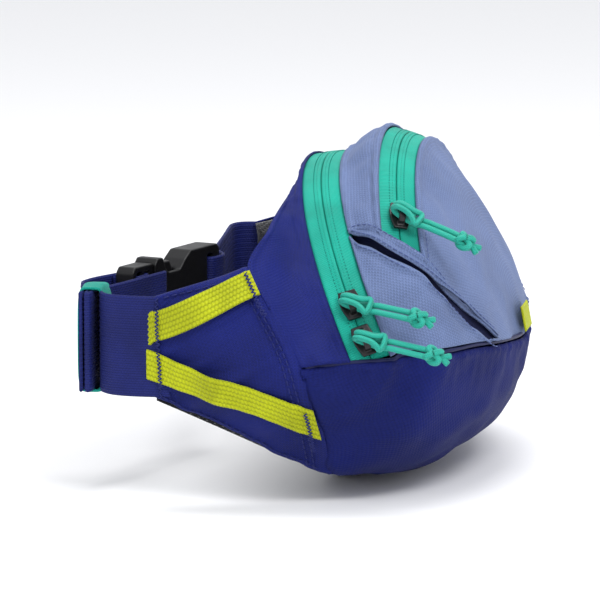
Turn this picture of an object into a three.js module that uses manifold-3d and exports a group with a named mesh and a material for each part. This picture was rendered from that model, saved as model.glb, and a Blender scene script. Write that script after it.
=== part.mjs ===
// Waist pack: a domed two-compartment hip bag on a padded belt with a side-release buckle.
// Millimetres: +Z is up, -Y is the bag's front, +Y is the wearer's side and X runs across the wearer.
// The pieces are drawn from the bag's own datum and moved at the end, so that the origin is under the
// middle of the whole pack, on the floor it stands on.
import * as THREE from "three";
import { mergeVertices } from "three/addons/utils/BufferGeometryUtils.js";
import Module from "manifold-3d";

const wasm = await Module();
wasm.setup();

// ---- Driving dimensions -------------------------------------------------------------------------
const FABRIC = 1.1; // thickness of a shell panel with its backing
const GAP = 0.3; // clearance between pieces that touch
const SEAM_Z = 59; // height of the seam between the dome and the bottom panel
const BAG_HALF_WIDTH = 109;
const BAG_BACK_Y = 5.4; // where that seam meets the wings
const BAG_FRONT_Y = -66;
const BAG_TOP_Z = 119.5; // rear top edge of the dome, at the middle
const FLOOR_Z = 3.4; // underside of the bag
const DATUM_Y = 15.45; // middle of the whole pack, front to back

const TAPE_HALF = 7.2; // half the visible width of a zip
const TAPE_THICK = 0.8;
const ZIP_SLIT = 0.6; // half the gap between a zip's two tapes
const COIL_HALF = 2.6;
const COIL_THICK = 1.6;

const WEB_HIGH = 38.5; // 38 mm webbing
const WEB_THICK = 1.5;
const WEB_MID_Z = 64.7;
const STRAP_WIDE = 12.4; // narrow reinforcing webbing
const STRAP_THICK = 1.2;

const WING_TIP_X = 104;
const WING_TIP_Y = 62;
const WING_FABRIC = 0.9;
const PAD_THICK = 5.5; // foam of the wings and the back
const MESH_THICK = 1.4;

const CORD = 2.4; // pull cord diameter
const STRAND_FROM = 4.9; // a pull's strands start beside the slider's bridge
const STRAND_TO = 23;
const KNOT_RADIUS = 3.6;

const BUCKLE_LONG = 52; // female half
const BUCKLE_HALF_HIGH = 24;
const BUCKLE_THICK = 10;
const PRONG_LONG = 18.5;

const group = new THREE.Group();

// ---- Colours --------------------------------------------------------------------------------------
const LOOKS = {
  navy_ripstop: [0x2e377a, 0.75, 0],
  navy_bottom: [0x293371, 0.85, 0],
  periwinkle: [0x94a7d1, 0.7, 0],
  lining: [0x1c2452, 0.8, 0],
  teal_tape: [0x31b7a6, 0.7, 0],
  teal_cord: [0x41cab7, 0.7, 0],
  lime_webbing: [0xcdd335, 0.75, 0],
  navy_webbing: [0x2d3671, 0.75, 0],
  teal_elastic: [0x2fc4ae, 0.6, 0],
  mesh: [0x1b1a1c, 0.9, 0],
  foam: [0x2a2a2e, 0.95, 0],
  plastic: [0x1c1d24, 0.45, 0],
  gunmetal: [0x2b292c, 0.3, 0.8],
  patch: [0xcdd335, 0.5, 0],
};

function add(name, geometry, look) {
  const [color, roughness, metalness] = LOOKS[look];
  const mesh = new THREE.Mesh(geometry, new THREE.MeshStandardMaterial({ color, roughness, metalness }));
  mesh.name = name;
  group.add(mesh);
  return mesh;
}

// ---- Small geometry tools --------------------------------------------------------------------------
const vec = (x, y, z) => new THREE.Vector3(x, y, z);
const mirrored = (p) => vec(-p.x, p.y, p.z);
const lerp = (a, b, t) => a + (b - a) * t;

// A smooth curve through (knots, values) that doesn't overshoot (monotone cubic).
function smooth(knots, values) {
  const n = knots.length;
  const step = knots.slice(1).map((k, i) => k - knots[i]);
  const slope = step.map((h, i) => (values[i + 1] - values[i]) / h);
  const tangent = values.map((_, i) => {
    if (i === 0) return slope[0];
    if (i === n - 1) return slope[n - 2];
    if (slope[i - 1] * slope[i] <= 0) return 0;
    const w1 = 2 * step[i] + step[i - 1];
    const w2 = step[i] + 2 * step[i - 1];
    return (w1 + w2) / (w1 / slope[i - 1] + w2 / slope[i]);
  });
  return (x) => {
    let i = 0;
    while (i < n - 2 && x > knots[i + 1]) i += 1;
    const h = step[i];
    const t = (x - knots[i]) / h;
    const a = values[i];
    const b = values[i + 1];
    const t2 = t * t;
    const t3 = t2 * t;
    const fromA = (2 * t3 - 3 * t2 + 1) * a + (t3 - 2 * t2 + t) * h * tangent[i];
    const fromB = (3 * t2 - 2 * t3) * b + (t3 - t2) * h * tangent[i + 1];
    return fromA + fromB;
  };
}

// The same through 3-D points.
function smoothPath(knots, points) {
  const x = smooth(knots, points.map((p) => p.x));
  const y = smooth(knots, points.map((p) => p.y));
  const z = smooth(knots, points.map((p) => p.z));
  return (t) => vec(x(t), y(t), z(t));
}

// A closed solid between two grids of points with the same rows and columns.
function solidBetween(outer, inner) {
  const rows = outer.length;
  const cols = outer[0].length;
  const points = [...outer.flat(), ...inner.flat()];
  const at = (side, i, j) => side * rows * cols + i * cols + j;
  const index = [];
  const quad = (a, b, c, d) => index.push(a, b, c, a, c, d);
  for (let i = 0; i < rows - 1; i += 1) {
    for (let j = 0; j < cols - 1; j += 1) {
      quad(at(0, i, j), at(0, i + 1, j), at(0, i + 1, j + 1), at(0, i, j + 1));
      quad(at(1, i, j), at(1, i, j + 1), at(1, i + 1, j + 1), at(1, i + 1, j));
    }
  }
  for (let i = 0; i < rows - 1; i += 1) {
    quad(at(0, i + 1, 0), at(0, i, 0), at(1, i, 0), at(1, i + 1, 0));
    quad(at(0, i, cols - 1), at(0, i + 1, cols - 1), at(1, i + 1, cols - 1), at(1, i, cols - 1));
  }
  for (let j = 0; j < cols - 1; j += 1) {
    quad(at(0, 0, j), at(0, 0, j + 1), at(1, 0, j + 1), at(1, 0, j));
    quad(at(0, rows - 1, j + 1), at(0, rows - 1, j), at(1, rows - 1, j), at(1, rows - 1, j + 1));
  }
  return facingOut(points, index);
}

// A BufferGeometry whose faces point out of the solid.
function facingOut(points, index) {
  let volume = 0;
  for (let k = 0; k < index.length; k += 3) {
    const [a, b, c] = [points[index[k]], points[index[k + 1]], points[index[k + 2]]];
    volume += a.dot(vec(0, 0, 0).crossVectors(b, c));
  }
  if (volume < 0) {
    for (let k = 0; k < index.length; k += 3) [index[k + 1], index[k + 2]] = [index[k + 2], index[k + 1]];
  }
  const geometry = new THREE.BufferGeometry();
  const flat = points.flatMap((p) => [p.x, p.y, p.z]);
  geometry.setAttribute("position", new THREE.Float32BufferAttribute(flat, 3));
  geometry.setIndex(index);
  return geometry;
}

// The surface's normal at (a, b), turned to point the way of `outward`.
function normalOf(surface, a, b, outward) {
  const e = 1e-3;
  const da = surface(a + e, b).sub(surface(a - e, b));
  const db = surface(a, b + e).sub(surface(a, b - e));
  const n = da.cross(db).normalize();
  return n.dot(outward(surface(a, b))) < 0 ? n.negate() : n;
}

// A sheet that follows surface(a, b) over the ranges of a and b, between two depths under it.
function sheet(surface, aRange, bRange, rows, cols, top, bottom, outward) {
  const grid = (depth) => {
    const out = [];
    for (let i = 0; i <= rows; i += 1) {
      const line = [];
      for (let j = 0; j <= cols; j += 1) {
        const b = typeof bRange === "function" ? null : lerp(bRange[0], bRange[1], j / cols);
        const a = typeof aRange === "function" ? null : lerp(aRange[0], aRange[1], i / rows);
        const bb = b === null ? lerp(...bRange(a), j / cols) : b;
        const aa = a === null ? lerp(...aRange(b), i / rows) : a;
        line.push(surface(aa, bb).addScaledVector(normalOf(surface, aa, bb, outward), -depth));
      }
      out.push(line);
    }
    return out;
  };
  return solidBetween(grid(top), grid(bottom));
}

// A strip of webbing along a path of {p, up, out}: up spans its width, out its thickness.
function strip(stations, width, thick) {
  const grid = (side) => stations.map(({ p, up, out }) => [-0.5, 0.5].map((k) => (
    p.clone().addScaledVector(up, k * width).addScaledVector(out, side * thick * 0.5))));
  return solidBetween(grid(1), grid(-1));
}

function toManifold(geometry) {
  const bare = geometry.clone();
  bare.deleteAttribute("normal");
  bare.deleteAttribute("uv");
  const merged = mergeVertices(bare, 1e-4);
  return new wasm.Manifold(new wasm.Mesh({
    numProp: 3,
    vertProperties: Float32Array.from(merged.getAttribute("position").array),
    triVerts: Uint32Array.from(merged.getIndex().array),
  }));
}

function fromManifold(solid) {
  const mesh = solid.getMesh();
  const geometry = new THREE.BufferGeometry();
  geometry.setAttribute("position", new THREE.Float32BufferAttribute(mesh.vertProperties, 3));
  geometry.setIndex([...mesh.triVerts]);
  return geometry;
}

function box(x0, x1, y0, y1, z0, z1) {
  const geometry = new THREE.BoxGeometry(x1 - x0, y1 - y0, z1 - z0);
  return geometry.translate((x0 + x1) / 2, (y0 + y1) / 2, (z0 + z1) / 2);
}

// ---- The dome: ribs from the rear edge to the nose --------------------------------------------------
// Each rib arches over the bag from its left base to its right base; u runs from 0 to 1 along it.
// The two zips lie on true circular arcs, so that a slider's travel is a turn about the arc's centre.
function circleRib(centre, up, radius, baseZ) {
  const half = Math.acos((baseZ - centre.z) / (radius * up.z));
  return (u) => {
    const turn = (2 * u - 1) * half;
    return centre.clone().addScaledVector(up, radius * Math.cos(turn)).add(vec(radius * Math.sin(turn), 0, 0));
  };
}

// An arc from (-halfWidth, baseY, baseZ) over (0, topY, topZ).
function arcRib(halfWidth, baseY, baseZ, topY, topZ) {
  const rise = Math.hypot(topY - baseY, topZ - baseZ);
  const up = vec(0, (topY - baseY) / rise, (topZ - baseZ) / rise);
  const radius = (halfWidth ** 2 + rise ** 2) / (2 * rise);
  const centre = vec(0, baseY, baseZ).addScaledVector(up, rise - radius);
  return circleRib(centre, up, radius, baseZ);
}

// A zip: its middle arc, the axis its sliders turn about, and the cone that its tapes lie on.
function zip(halfWidth, baseY, baseZ, topY, topZ, coneDegrees) {
  const rise = Math.hypot(topY - baseY, topZ - baseZ);
  const up = vec(0, (topY - baseY) / rise, (topZ - baseZ) / rise);
  const radius = (halfWidth ** 2 + rise ** 2) / (2 * rise);
  const centre = vec(0, baseY, baseZ).addScaledVector(up, rise - radius);
  const forward = vec(0, -up.z, up.y); // across the zip, towards the bag's front
  const cone = THREE.MathUtils.degToRad(coneDegrees);
  const half = Math.acos((baseZ - centre.z) / (radius * up.z));
  const at = (w, turn, depth = 0) => {
    const r = radius - w * Math.sin(cone) - depth * Math.cos(cone);
    const along = w * Math.cos(cone) - depth * Math.sin(cone);
    return centre.clone().addScaledVector(forward, along)
      .addScaledVector(up, r * Math.cos(turn)).add(vec(r * Math.sin(turn), 0, 0));
  };
  const rib = (w, z) => circleRib(
    centre.clone().addScaledVector(forward, w * Math.cos(cone)), up, radius - w * Math.sin(cone), z);
  return { centre, up, forward, cone, radius, half, at, rib };
}

const mainZip = zip(102.9, -20.9, 61.6, 13, 127.7, 20);
const frontZip = zip(90.9, -37.5, 62.8, -18.3, 136, 32);

// The rear edge of the shell: up the left wing's seam, over the top and down the right wing's seam.
const leftRearEdge = [
  [0, vec(-BAG_HALF_WIDTH, BAG_BACK_Y, SEAM_Z)],
  [0.1, vec(-107, 19, 83)],
  [0.15, vec(-100, 27, 96)],
  [0.215, vec(-85, 22, 107.5)],
  [0.34, vec(-46, 21.5, 115)],
  [0.5, vec(0, 21.5, BAG_TOP_Z)],
];
const rearEdge = (() => {
  const left = smoothPath(leftRearEdge.map((k) => k[0]), leftRearEdge.map((k) => k[1]));
  return (u) => (u <= 0.5 ? left(Math.max(u, 0)) : mirrored(left(Math.max(1 - u, 0))));
})();

const RIB_AT = [0, 25, 39.5, 61.5, 76, 98, 128, 156, 166];
const ribs = [
  rearEdge,
  mainZip.rib(-TAPE_HALF, 61),
  mainZip.rib(TAPE_HALF, 62),
  frontZip.rib(-TAPE_HALF, 62.8),
  frontZip.rib(TAPE_HALF, 62.8),
  arcRib(67.6, -53.5, 62.3, -40, 118),
  arcRib(39.4, -62.6, 60, -55.5, 91),
  arcRib(10.6, BAG_FRONT_Y + 0.2, 57.5, -64, 68),
  arcRib(1.2, BAG_FRONT_Y + 0.1, 56.8, BAG_FRONT_Y + 0.3, 58),
];
const MAIN_REAR = RIB_AT[1];
const MAIN_FRONT = RIB_AT[2];
const FRONT_REAR = RIB_AT[3];
const FRONT_FRONT = RIB_AT[4];
const NOSE = RIB_AT[8];

function dome(v, u) {
  return smoothPath(RIB_AT, ribs.map((rib) => rib(u)))(v);
}
const domeMiddle = vec(0, -10, 60);
const fromMiddle = (p) => p.clone().sub(domeMiddle);

// The share of a rib's arc that a length in millimetres takes, near u.
function shareOf(v, u, length) {
  const e = 0.004;
  return (length * 2 * e) / dome(v, u + e).distanceTo(dome(v, u - e));
}
const vOf = (v, u, length) => (length * 0.2) / dome(v + 0.1, u).distanceTo(dome(v - 0.1, u));

// ---- The slanting hand-pocket slits -------------------------------------------------------------------
const SLIT_FRONT = 123; // the rib where a slit runs out into the bottom seam
const slitOpen = smooth([MAIN_FRONT, 95, SLIT_FRONT], [5.2, 5.2, 2]);
const WELT_WIDE = 8;
const slitLow = smooth(
  [MAIN_FRONT, FRONT_REAR, FRONT_FRONT, 98, SLIT_FRONT],
  [0.198, 0.146, 0.112, 0.062, 0.004],
);
const slitHigh = (v) => slitLow(v) + shareOf(v, slitLow(v), slitOpen(v));
const weltHigh = (v) => slitHigh(v) + shareOf(v, slitHigh(v), WELT_WIDE);

const sideGap = (v) => shareOf(v, 0.1, 2 * GAP);

function shellPanels() {
  const inset = vOf(30, 0.3, GAP);
  const rearV = (u) => [0.6, MAIN_REAR - vOf(20, u, 1)];
  add("rear_panel", sheet(dome, rearV, [0.004, 0.996], 2, 30, 0, FABRIC, fromMiddle), "navy_ripstop");

  const gussetU = (v) => [weltHigh(v) + sideGap(v), 1 - weltHigh(v) - sideGap(v)];
  add("gusset_panel",
    sheet(dome, [MAIN_FRONT + inset, FRONT_REAR - inset], gussetU, 2, 18, 0, FABRIC, fromMiddle),
    "periwinkle");

  // The front panel's rows close up where the slits run out into the bottom seam.
  const rowAt = [
    FRONT_FRONT + inset, 84, 92, 100, 108, 115.5, SLIT_FRONT - 1,
    SLIT_FRONT + 1.5, 133, 145, 156, NOSE - 0.5,
  ];
  const last = rowAt.length - 1;
  const rowV = (a) => smooth(rowAt.map((_, i) => i), rowAt)(a);
  const frontU = (a) => {
    const low = rowV(a) < SLIT_FRONT ? weltHigh(rowV(a)) + sideGap(rowV(a)) : 0.02;
    return [low, 1 - low];
  };
  add("front_panel",
    sheet((a, u) => dome(rowV(a), u), [0, last], frontU, last, 16, 0, FABRIC, fromMiddle),
    "periwinkle");

  for (const side of ["left", "right"]) {
    const hand = side === "left" ? dome : (v, u) => mirrored(dome(v, u));
    const slitRear = MAIN_FRONT + inset;
    add(`hand_pocket_panel_${side}`,
      sheet(hand, [slitRear, SLIT_FRONT - 6], (v) => [0.006, slitLow(v)], 10, 2, 0, FABRIC, fromMiddle),
      "periwinkle");
    add(`slit_welt_${side}`,
      sheet(hand, [slitRear, SLIT_FRONT - 3], (v) => [slitHigh(v), weltHigh(v)], 10, 1, 0, FABRIC, fromMiddle),
      "periwinkle");
    const liningLow = (v) => [Math.max(0.01, slitLow(v) - 0.1), slitHigh(v) + 0.03];
    add(`hand_pocket_lining_${side}`,
      sheet(hand, [MAIN_FRONT + 3, SLIT_FRONT - 14], liningLow, 7, 3, 12, 12.7, fromMiddle), "lining");
  }
}

// ---- The bottom panel: a bowl from the dome's seam to the rear wall's lower edge -----------------------
const seamLine = (q) => {
  const v = Math.min(q, 1 - q) * 2 * NOSE;
  const left = dome(v, 0);
  return q <= 0.5 ? left : mirrored(left);
};
const leftKeel = smoothPath([0, 0.08, 0.2, 0.3, 0.4, 0.5], [
  vec(-BAG_HALF_WIDTH + 0.4, BAG_BACK_Y - 1.4, SEAM_Z - 3.5),
  vec(-107, 2, 46),
  vec(-101, -1, 31),
  vec(-87, -2, 14),
  vec(-52, 1, 6),
  vec(0, 2.5, 1),
]);
const keel = (q) => (q <= 0.5 ? leftKeel(q) : mirrored(leftKeel(1 - q)));
const BOWL_POWER = 2 / 2.4;
// The underside is flat in the middle and curves up towards both ends.
const floorRise = [0, 0, 4.8, 10.6, 20];
const floorAt = smooth([0, 26, 52, 87, BAG_HALF_WIDTH + 1], floorRise.map((rise) => FLOOR_Z + rise));

function bowl(q, w) {
  const low = keel(q);
  const high = seamLine(q);
  const turn = (w * Math.PI) / 2;
  const out = Math.sin(turn) ** BOWL_POWER;
  const rise = 1 - Math.cos(turn) ** BOWL_POWER;
  const z = lerp(low.z, high.z, rise);
  const x = lerp(low.x, high.x, out);
  return vec(x, lerp(low.y, high.y, out), Math.max(z, floorAt(Math.abs(x))));
}

function bottomPanel() {
  const q0 = 0.005;
  const rows = 36;
  const cols = 7;
  const outer = [];
  const inner = [];
  for (let i = 0; i <= rows; i += 1) {
    const q = lerp(q0, 1 - q0, i / rows);
    const outerLine = [];
    const innerLine = [];
    for (let j = 0; j <= cols; j += 1) {
      const w = lerp(0.02, 0.985, j / cols);
      const p = bowl(q, w);
      const towards = vec(0, -18, 58).sub(p).normalize();
      outerLine.push(p);
      innerLine.push(p.clone().addScaledVector(towards, FABRIC * 1.25));
    }
    outer.push(outerLine);
    inner.push(innerLine);
  }
  add("bottom_panel", solidBetween(outer, inner), "navy_bottom");
}

// ---- Rear wall, back pad and back mesh ----------------------------------------------------------------
const WALL_HALF = 99;
const wallLow = smooth([0, 26, 52, 84, 95, WALL_HALF], [FLOOR_Z + 0.4, FLOOR_Z + 0.4, 9.4, 18, 28, 34]);
const wallTop = smooth([0, 46, 85, WALL_HALF], [113, 108.5, 99, 83]);
const wallLowY = smooth([0, 52, 84, WALL_HALF], [3.9, 2.6, 0.4, 2]);
const wallTopY = smooth([0, 46, 85, WALL_HALF], [20.4, 20.2, 19, 20]);
const PAD_HALF = 88;
const padLow = smooth([0, 24, 60, 80, PAD_HALF], [FLOOR_Z + 1.3, FLOOR_Z + 1.3, 13, 24, 38]);

// The wearer's side of the rear wall, and the part of it that the back padding covers.
function wallPoint(x, z) {
  const ax = Math.abs(x);
  const rise = (z - wallLow(ax)) / (wallTop(ax) - wallLow(ax));
  return vec(x, lerp(wallLowY(ax), wallTopY(ax), rise), z);
}
const wall = (x, j) => wallPoint(x, lerp(wallLow(Math.abs(x)), wallTop(Math.abs(x)), j));
const padded = (x, j) => wallPoint(x, lerp(padLow(Math.abs(x)), wallTop(Math.abs(x)) - 1, j));
const backwards = () => vec(0, 1, 0);

function backPanels() {
  const padFrom = 0.6;
  const meshFrom = padFrom + PAD_THICK + GAP;
  add("rear_wall", sheet(wall, [-WALL_HALF, WALL_HALF], [0, 1], 14, 5, 0, 1, backwards), "lining");
  add("back_pad",
    sheet(padded, [-PAD_HALF + 1, PAD_HALF - 1], [0.005, 0.99], 12, 5, -padFrom - PAD_THICK, -padFrom, backwards),
    "foam");
  add("back_mesh",
    sheet(padded, [-PAD_HALF, PAD_HALF], [0, 1], 12, 5, -meshFrom - MESH_THICK, -meshFrom, backwards),
    "mesh");
}

// ---- The divider between the main compartment and the front pocket --------------------------------------
function divider() {
  const rows = [];
  const back = [];
  for (let i = 0; i <= 12; i += 1) {
    const u = lerp(0.25, 0.75, i / 12);
    const top = dome(FRONT_REAR - 4, u);
    const line = [];
    const behind = [];
    for (let j = 0; j <= 4; j += 1) {
      const drop = j / 4;
      const x = top.x * lerp(0.97, 0.86, drop);
      const z = lerp(top.z - 6, floorAt(Math.abs(x)) + 8, drop);
      const y = lerp(top.y, -22, Math.min(1, drop * 1.2));
      line.push(vec(x, y, z));
      behind.push(vec(x, y + 0.7, z));
    }
    rows.push(line);
    back.push(behind);
  }
  add("pocket_divider", solidBetween(rows, back), "lining");
}

// ---- Zips -------------------------------------------------------------------------------------------------
function zipStrip(z, w0, w1, turn0, turn1, top, bottom, steps) {
  const rows = (depth) => {
    const out = [];
    for (let i = 0; i <= steps; i += 1) {
      const turn = lerp(turn0, turn1, i / steps);
      out.push([z.at(w0, turn, depth), z.at(w1, turn, depth)]);
    }
    return out;
  };
  return solidBetween(rows(top), rows(bottom));
}

function zipParts(name, z, reach, steps) {
  const edge = TAPE_HALF - GAP;
  add(`${name}_tape_rear`, zipStrip(z, -edge, -ZIP_SLIT, -reach, reach, 0, TAPE_THICK, steps), "teal_tape");
  add(`${name}_tape_front`, zipStrip(z, ZIP_SLIT, edge, -reach, reach, 0, TAPE_THICK, steps), "teal_tape");
  const top = TAPE_THICK + 0.1;
  const coilReach = reach - 0.02;
  for (const [side, w0, w1] of [["rear", -COIL_HALF, -ZIP_SLIT], ["front", ZIP_SLIT, COIL_HALF]]) {
    add(`${name}_coil_${side}`,
      zipStrip(z, w0, w1, -coilReach, coilReach, top, top + COIL_THICK, steps), "teal_tape");
  }
}

// A slider is two plates joined by a thin web between the tapes, with an arched bridge on top.
const SLIDER_LONG = 12;
const SLIDER_HALF = 4.1;
const PLATE = 1.3;
const WEB_HALF = 0.3;
const BRIDGE_HIGH = 4.2;
const BRIDGE_WIDE = 2.4;
function sliderGeometry(z, turn) {
  const depth = TAPE_THICK + 0.1 + COIL_THICK + 0.55;
  const lift = 0.35;
  const half = SLIDER_LONG / 2;
  const plate = new THREE.Shape();
  plate.moveTo(-half, -SLIDER_HALF * 0.62);
  plate.quadraticCurveTo(-half * 0.2, -SLIDER_HALF * 1.05, half * 0.35, -SLIDER_HALF);
  plate.lineTo(half, -SLIDER_HALF * 0.8);
  plate.lineTo(half, SLIDER_HALF * 0.8);
  plate.lineTo(half * 0.35, SLIDER_HALF);
  plate.quadraticCurveTo(-half * 0.2, SLIDER_HALF * 1.05, -half, SLIDER_HALF * 0.62);
  plate.closePath();
  const flat = (z0) => new THREE.ExtrudeGeometry(plate, { depth: PLATE, bevelEnabled: false, curveSegments: 3 })
    .translate(0, 0, z0);
  const arch = new THREE.Shape();
  arch.moveTo(-4.6, 0);
  arch.quadraticCurveTo(-4.4, BRIDGE_HIGH, 0, BRIDGE_HIGH);
  arch.quadraticCurveTo(4.4, BRIDGE_HIGH, 4.6, 0);
  arch.lineTo(3.2, 0);
  arch.quadraticCurveTo(3, BRIDGE_HIGH - 1.2, 0, BRIDGE_HIGH - 1.2);
  arch.quadraticCurveTo(-3, BRIDGE_HIGH - 1.2, -3.2, 0);
  arch.closePath();
  const bridge = new THREE.ExtrudeGeometry(arch, { depth: BRIDGE_WIDE, bevelEnabled: false, curveSegments: 4 });
  bridge.rotateX(Math.PI / 2).translate(0, BRIDGE_WIDE / 2, lift + PLATE - 0.2);
  const solid = toManifold(flat(lift))
    .add(toManifold(flat(-depth - PLATE)))
    .add(toManifold(box(-half + 1.5, half - 1.5, -WEB_HALF, WEB_HALF, -depth - 0.4, lift + 0.4)))
    .add(toManifold(bridge));
  return fromManifold(solid).applyMatrix4(onZip(z, turn));
}

// Places a thing built along X (travel), Y (towards the wearer), Z (out) on a zip's arc.
function onZip(z, turn) {
  const out = z.at(0, turn, -1).sub(z.at(0, turn, 0)).normalize();
  const along = z.at(0, turn + 1e-3).sub(z.at(0, turn - 1e-3)).normalize();
  const across = vec(0, 0, 0).crossVectors(out, along);
  return new THREE.Matrix4().makeBasis(along, across, out).setPosition(z.at(0, turn));
}

// A pull: two strands of cord from beside the bridge to an overhand knot.
function pull(name, z, turn, heading) {
  const place = onZip(z, turn);
  const along = heading.clone().normalize();
  const beside = vec(-along.y, along.x, 0);
  const lift = (d) => 0.32 * d - 0.004 * d * d;
  const point = (d, side) => vec(0, 0, 3.15 + lift(d - STRAND_FROM))
    .addScaledVector(along, d).addScaledVector(beside, side * (CORD / 2 + GAP / 2));
  for (const [strand, side] of [["a", -1], ["b", 1]]) {
    const path = [0, 1, 2, 3, 4].map((k) => point(lerp(STRAND_FROM, STRAND_TO, k / 4), side));
    const circle = new THREE.Shape();
    circle.absarc(0, 0, CORD / 2, 0, Math.PI * 2);
    const tube = new THREE.ExtrudeGeometry(circle, {
      steps: 4, curveSegments: 4, bevelEnabled: false, extrudePath: new THREE.CatmullRomCurve3(path),
    });
    add(`${name}_strand_${strand}`, tube.applyMatrix4(place), "teal_cord");
  }
  const end = point(STRAND_TO + KNOT_RADIUS + 0.4, 0);
  const knot = new THREE.SphereGeometry(KNOT_RADIUS, 8, 6).translate(end.x, end.y, end.z);
  add(`${name}_knot`, knot.applyMatrix4(place), "teal_cord");
}

const MAIN_LOWER_TURN = -1.175;
const MAIN_UPPER_TURN = -1.035;
const FRONT_TURN = -0.775;
function slidersAndPulls() {
  const sliders = [
    ["main_slider_lower", mainZip, MAIN_LOWER_TURN, vec(-0.62, -0.78, 0)],
    ["main_slider_upper", mainZip, MAIN_UPPER_TURN, vec(-0.62, -0.78, 0)],
    ["front_slider", frontZip, FRONT_TURN, vec(-0.55, -0.84, 0)],
  ];
  for (const [name, z, turn, heading] of sliders) {
    add(name, sliderGeometry(z, turn), "gunmetal");
    pull(name.replace("slider", "pull"), z, turn, heading);
  }
}

// ---- Wings: padded side panels from the bag to the belt webbing -----------------------------------------
const wingRoot = smoothPath([0, 0.24, 0.41, 0.54, 0.83, 1], [
  vec(-87, -2, 14),
  vec(-101, -1, 32),
  vec(-107, 2, 47),
  vec(-BAG_HALF_WIDTH, BAG_BACK_Y, SEAM_Z),
  vec(-107, 19, 83),
  vec(-100, 27, 96),
]);
const WING_BULGE = 4;
function wing(t, u) {
  const tip = vec(-WING_TIP_X, WING_TIP_Y, WEB_MID_Z + (u - 0.5) * WEB_HIGH);
  const bulge = WING_BULGE * Math.sin(Math.PI * t) * Math.sin(Math.PI * Math.min(Math.max(u, 0), 1));
  return wingRoot(u).lerp(tip, t).add(vec(-bulge, 0, 0));
}
const outwards = (p) => vec(p.x, 0, 0);

// A narrow strap laid over a wing's face from its tip (t = 1) to the bag.
function wingStrap(face, uTip, uRoot, tRoot) {
  const stations = [];
  for (let k = 0; k <= 8; k += 1) {
    const t = lerp(0.965, tRoot, k / 8);
    const u = lerp(uTip, uRoot, k / 8);
    const out = normalOf(face, t, u, outwards);
    const run = face(t - 0.01, u + 0.01 * (uRoot - uTip)).sub(face(t, u)).normalize();
    const up = vec(0, 0, 0).crossVectors(out, run);
    stations.push({ p: face(t, u).addScaledVector(out, 0.4 + STRAP_THICK / 2), up, out });
  }
  return strip(stations, STRAP_WIDE, STRAP_THICK);
}

function wings() {
  for (const side of ["left", "right"]) {
    const face = side === "left" ? wing : (t, u) => mirrored(wing(t, u));
    const foamFrom = WING_FABRIC + 2 * GAP;
    const meshFrom = foamFrom + PAD_THICK + 2 * GAP;
    add(`wing_outer_${side}`,
      sheet(face, [0.03, 1], [0, 1], 6, 8, 0, WING_FABRIC, outwards), "navy_ripstop");
    add(`wing_foam_${side}`,
      sheet(face, [0.25, 0.96], [0.06, 0.95], 6, 6, foamFrom, foamFrom + PAD_THICK, outwards), "foam");
    add(`wing_mesh_${side}`,
      sheet(face, [0.25, 0.99], [0.05, 0.97], 6, 6, meshFrom, meshFrom + MESH_THICK, outwards), "mesh");
    add(`wing_strap_upper_${side}`, wingStrap(face, 0.7, 0.86, 0.03), "lime_webbing");
    add(`wing_strap_lower_${side}`, wingStrap(face, 0.31, 0.26, 0.03), "lime_webbing");
  }
}

// ---- Belt webbing ---------------------------------------------------------------------------------------
// Webbing that stands on edge along a plan path of [x, y] points.
function ribbon(plan, high = WEB_HIGH, thick = WEB_THICK) {
  const stations = plan.map(([x, y], i) => {
    const before = plan[Math.max(i - 1, 0)];
    const after = plan[Math.min(i + 1, plan.length - 1)];
    const into = vec(x - before[0], y - before[1], 0).normalize();
    const onward = vec(after[0] - x, after[1] - y, 0).normalize();
    const along = into.clone().add(onward).normalize();
    const mitre = 1 / Math.max(along.dot(i ? into : onward), 0.75);
    return { p: vec(x, y, WEB_MID_Z), up: vec(0, 0, 1), out: vec(-along.y, along.x, 0).multiplyScalar(mitre) };
  });
  return strip(stations, high, thick);
}

// The buckle's own axes: s runs from the male half to the female half, o points away from the wearer.
const buckleAt = [-41, 79];
const buckleRun = [0.954, -0.3];
const planAt = (s, o) => [
  buckleAt[0] + s * buckleRun[0] - o * buckleRun[1],
  buckleAt[1] + s * buckleRun[1] + o * buckleRun[0],
];
const onBuckle = new THREE.Matrix4().makeBasis(
  vec(buckleRun[0], buckleRun[1], 0), vec(-buckleRun[1], buckleRun[0], 0), vec(0, 0, 1),
).setPosition(buckleAt[0], buckleAt[1], WEB_MID_Z);

const LOOP_OUT = BUCKLE_THICK / 2 + 0.95; // webbing folded over a face of the female half
const FOLD_OUT = 4.95; // webbing folded over a face of the male half
const LEG_OUT = 7; // webbing that runs past the male half

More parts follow.
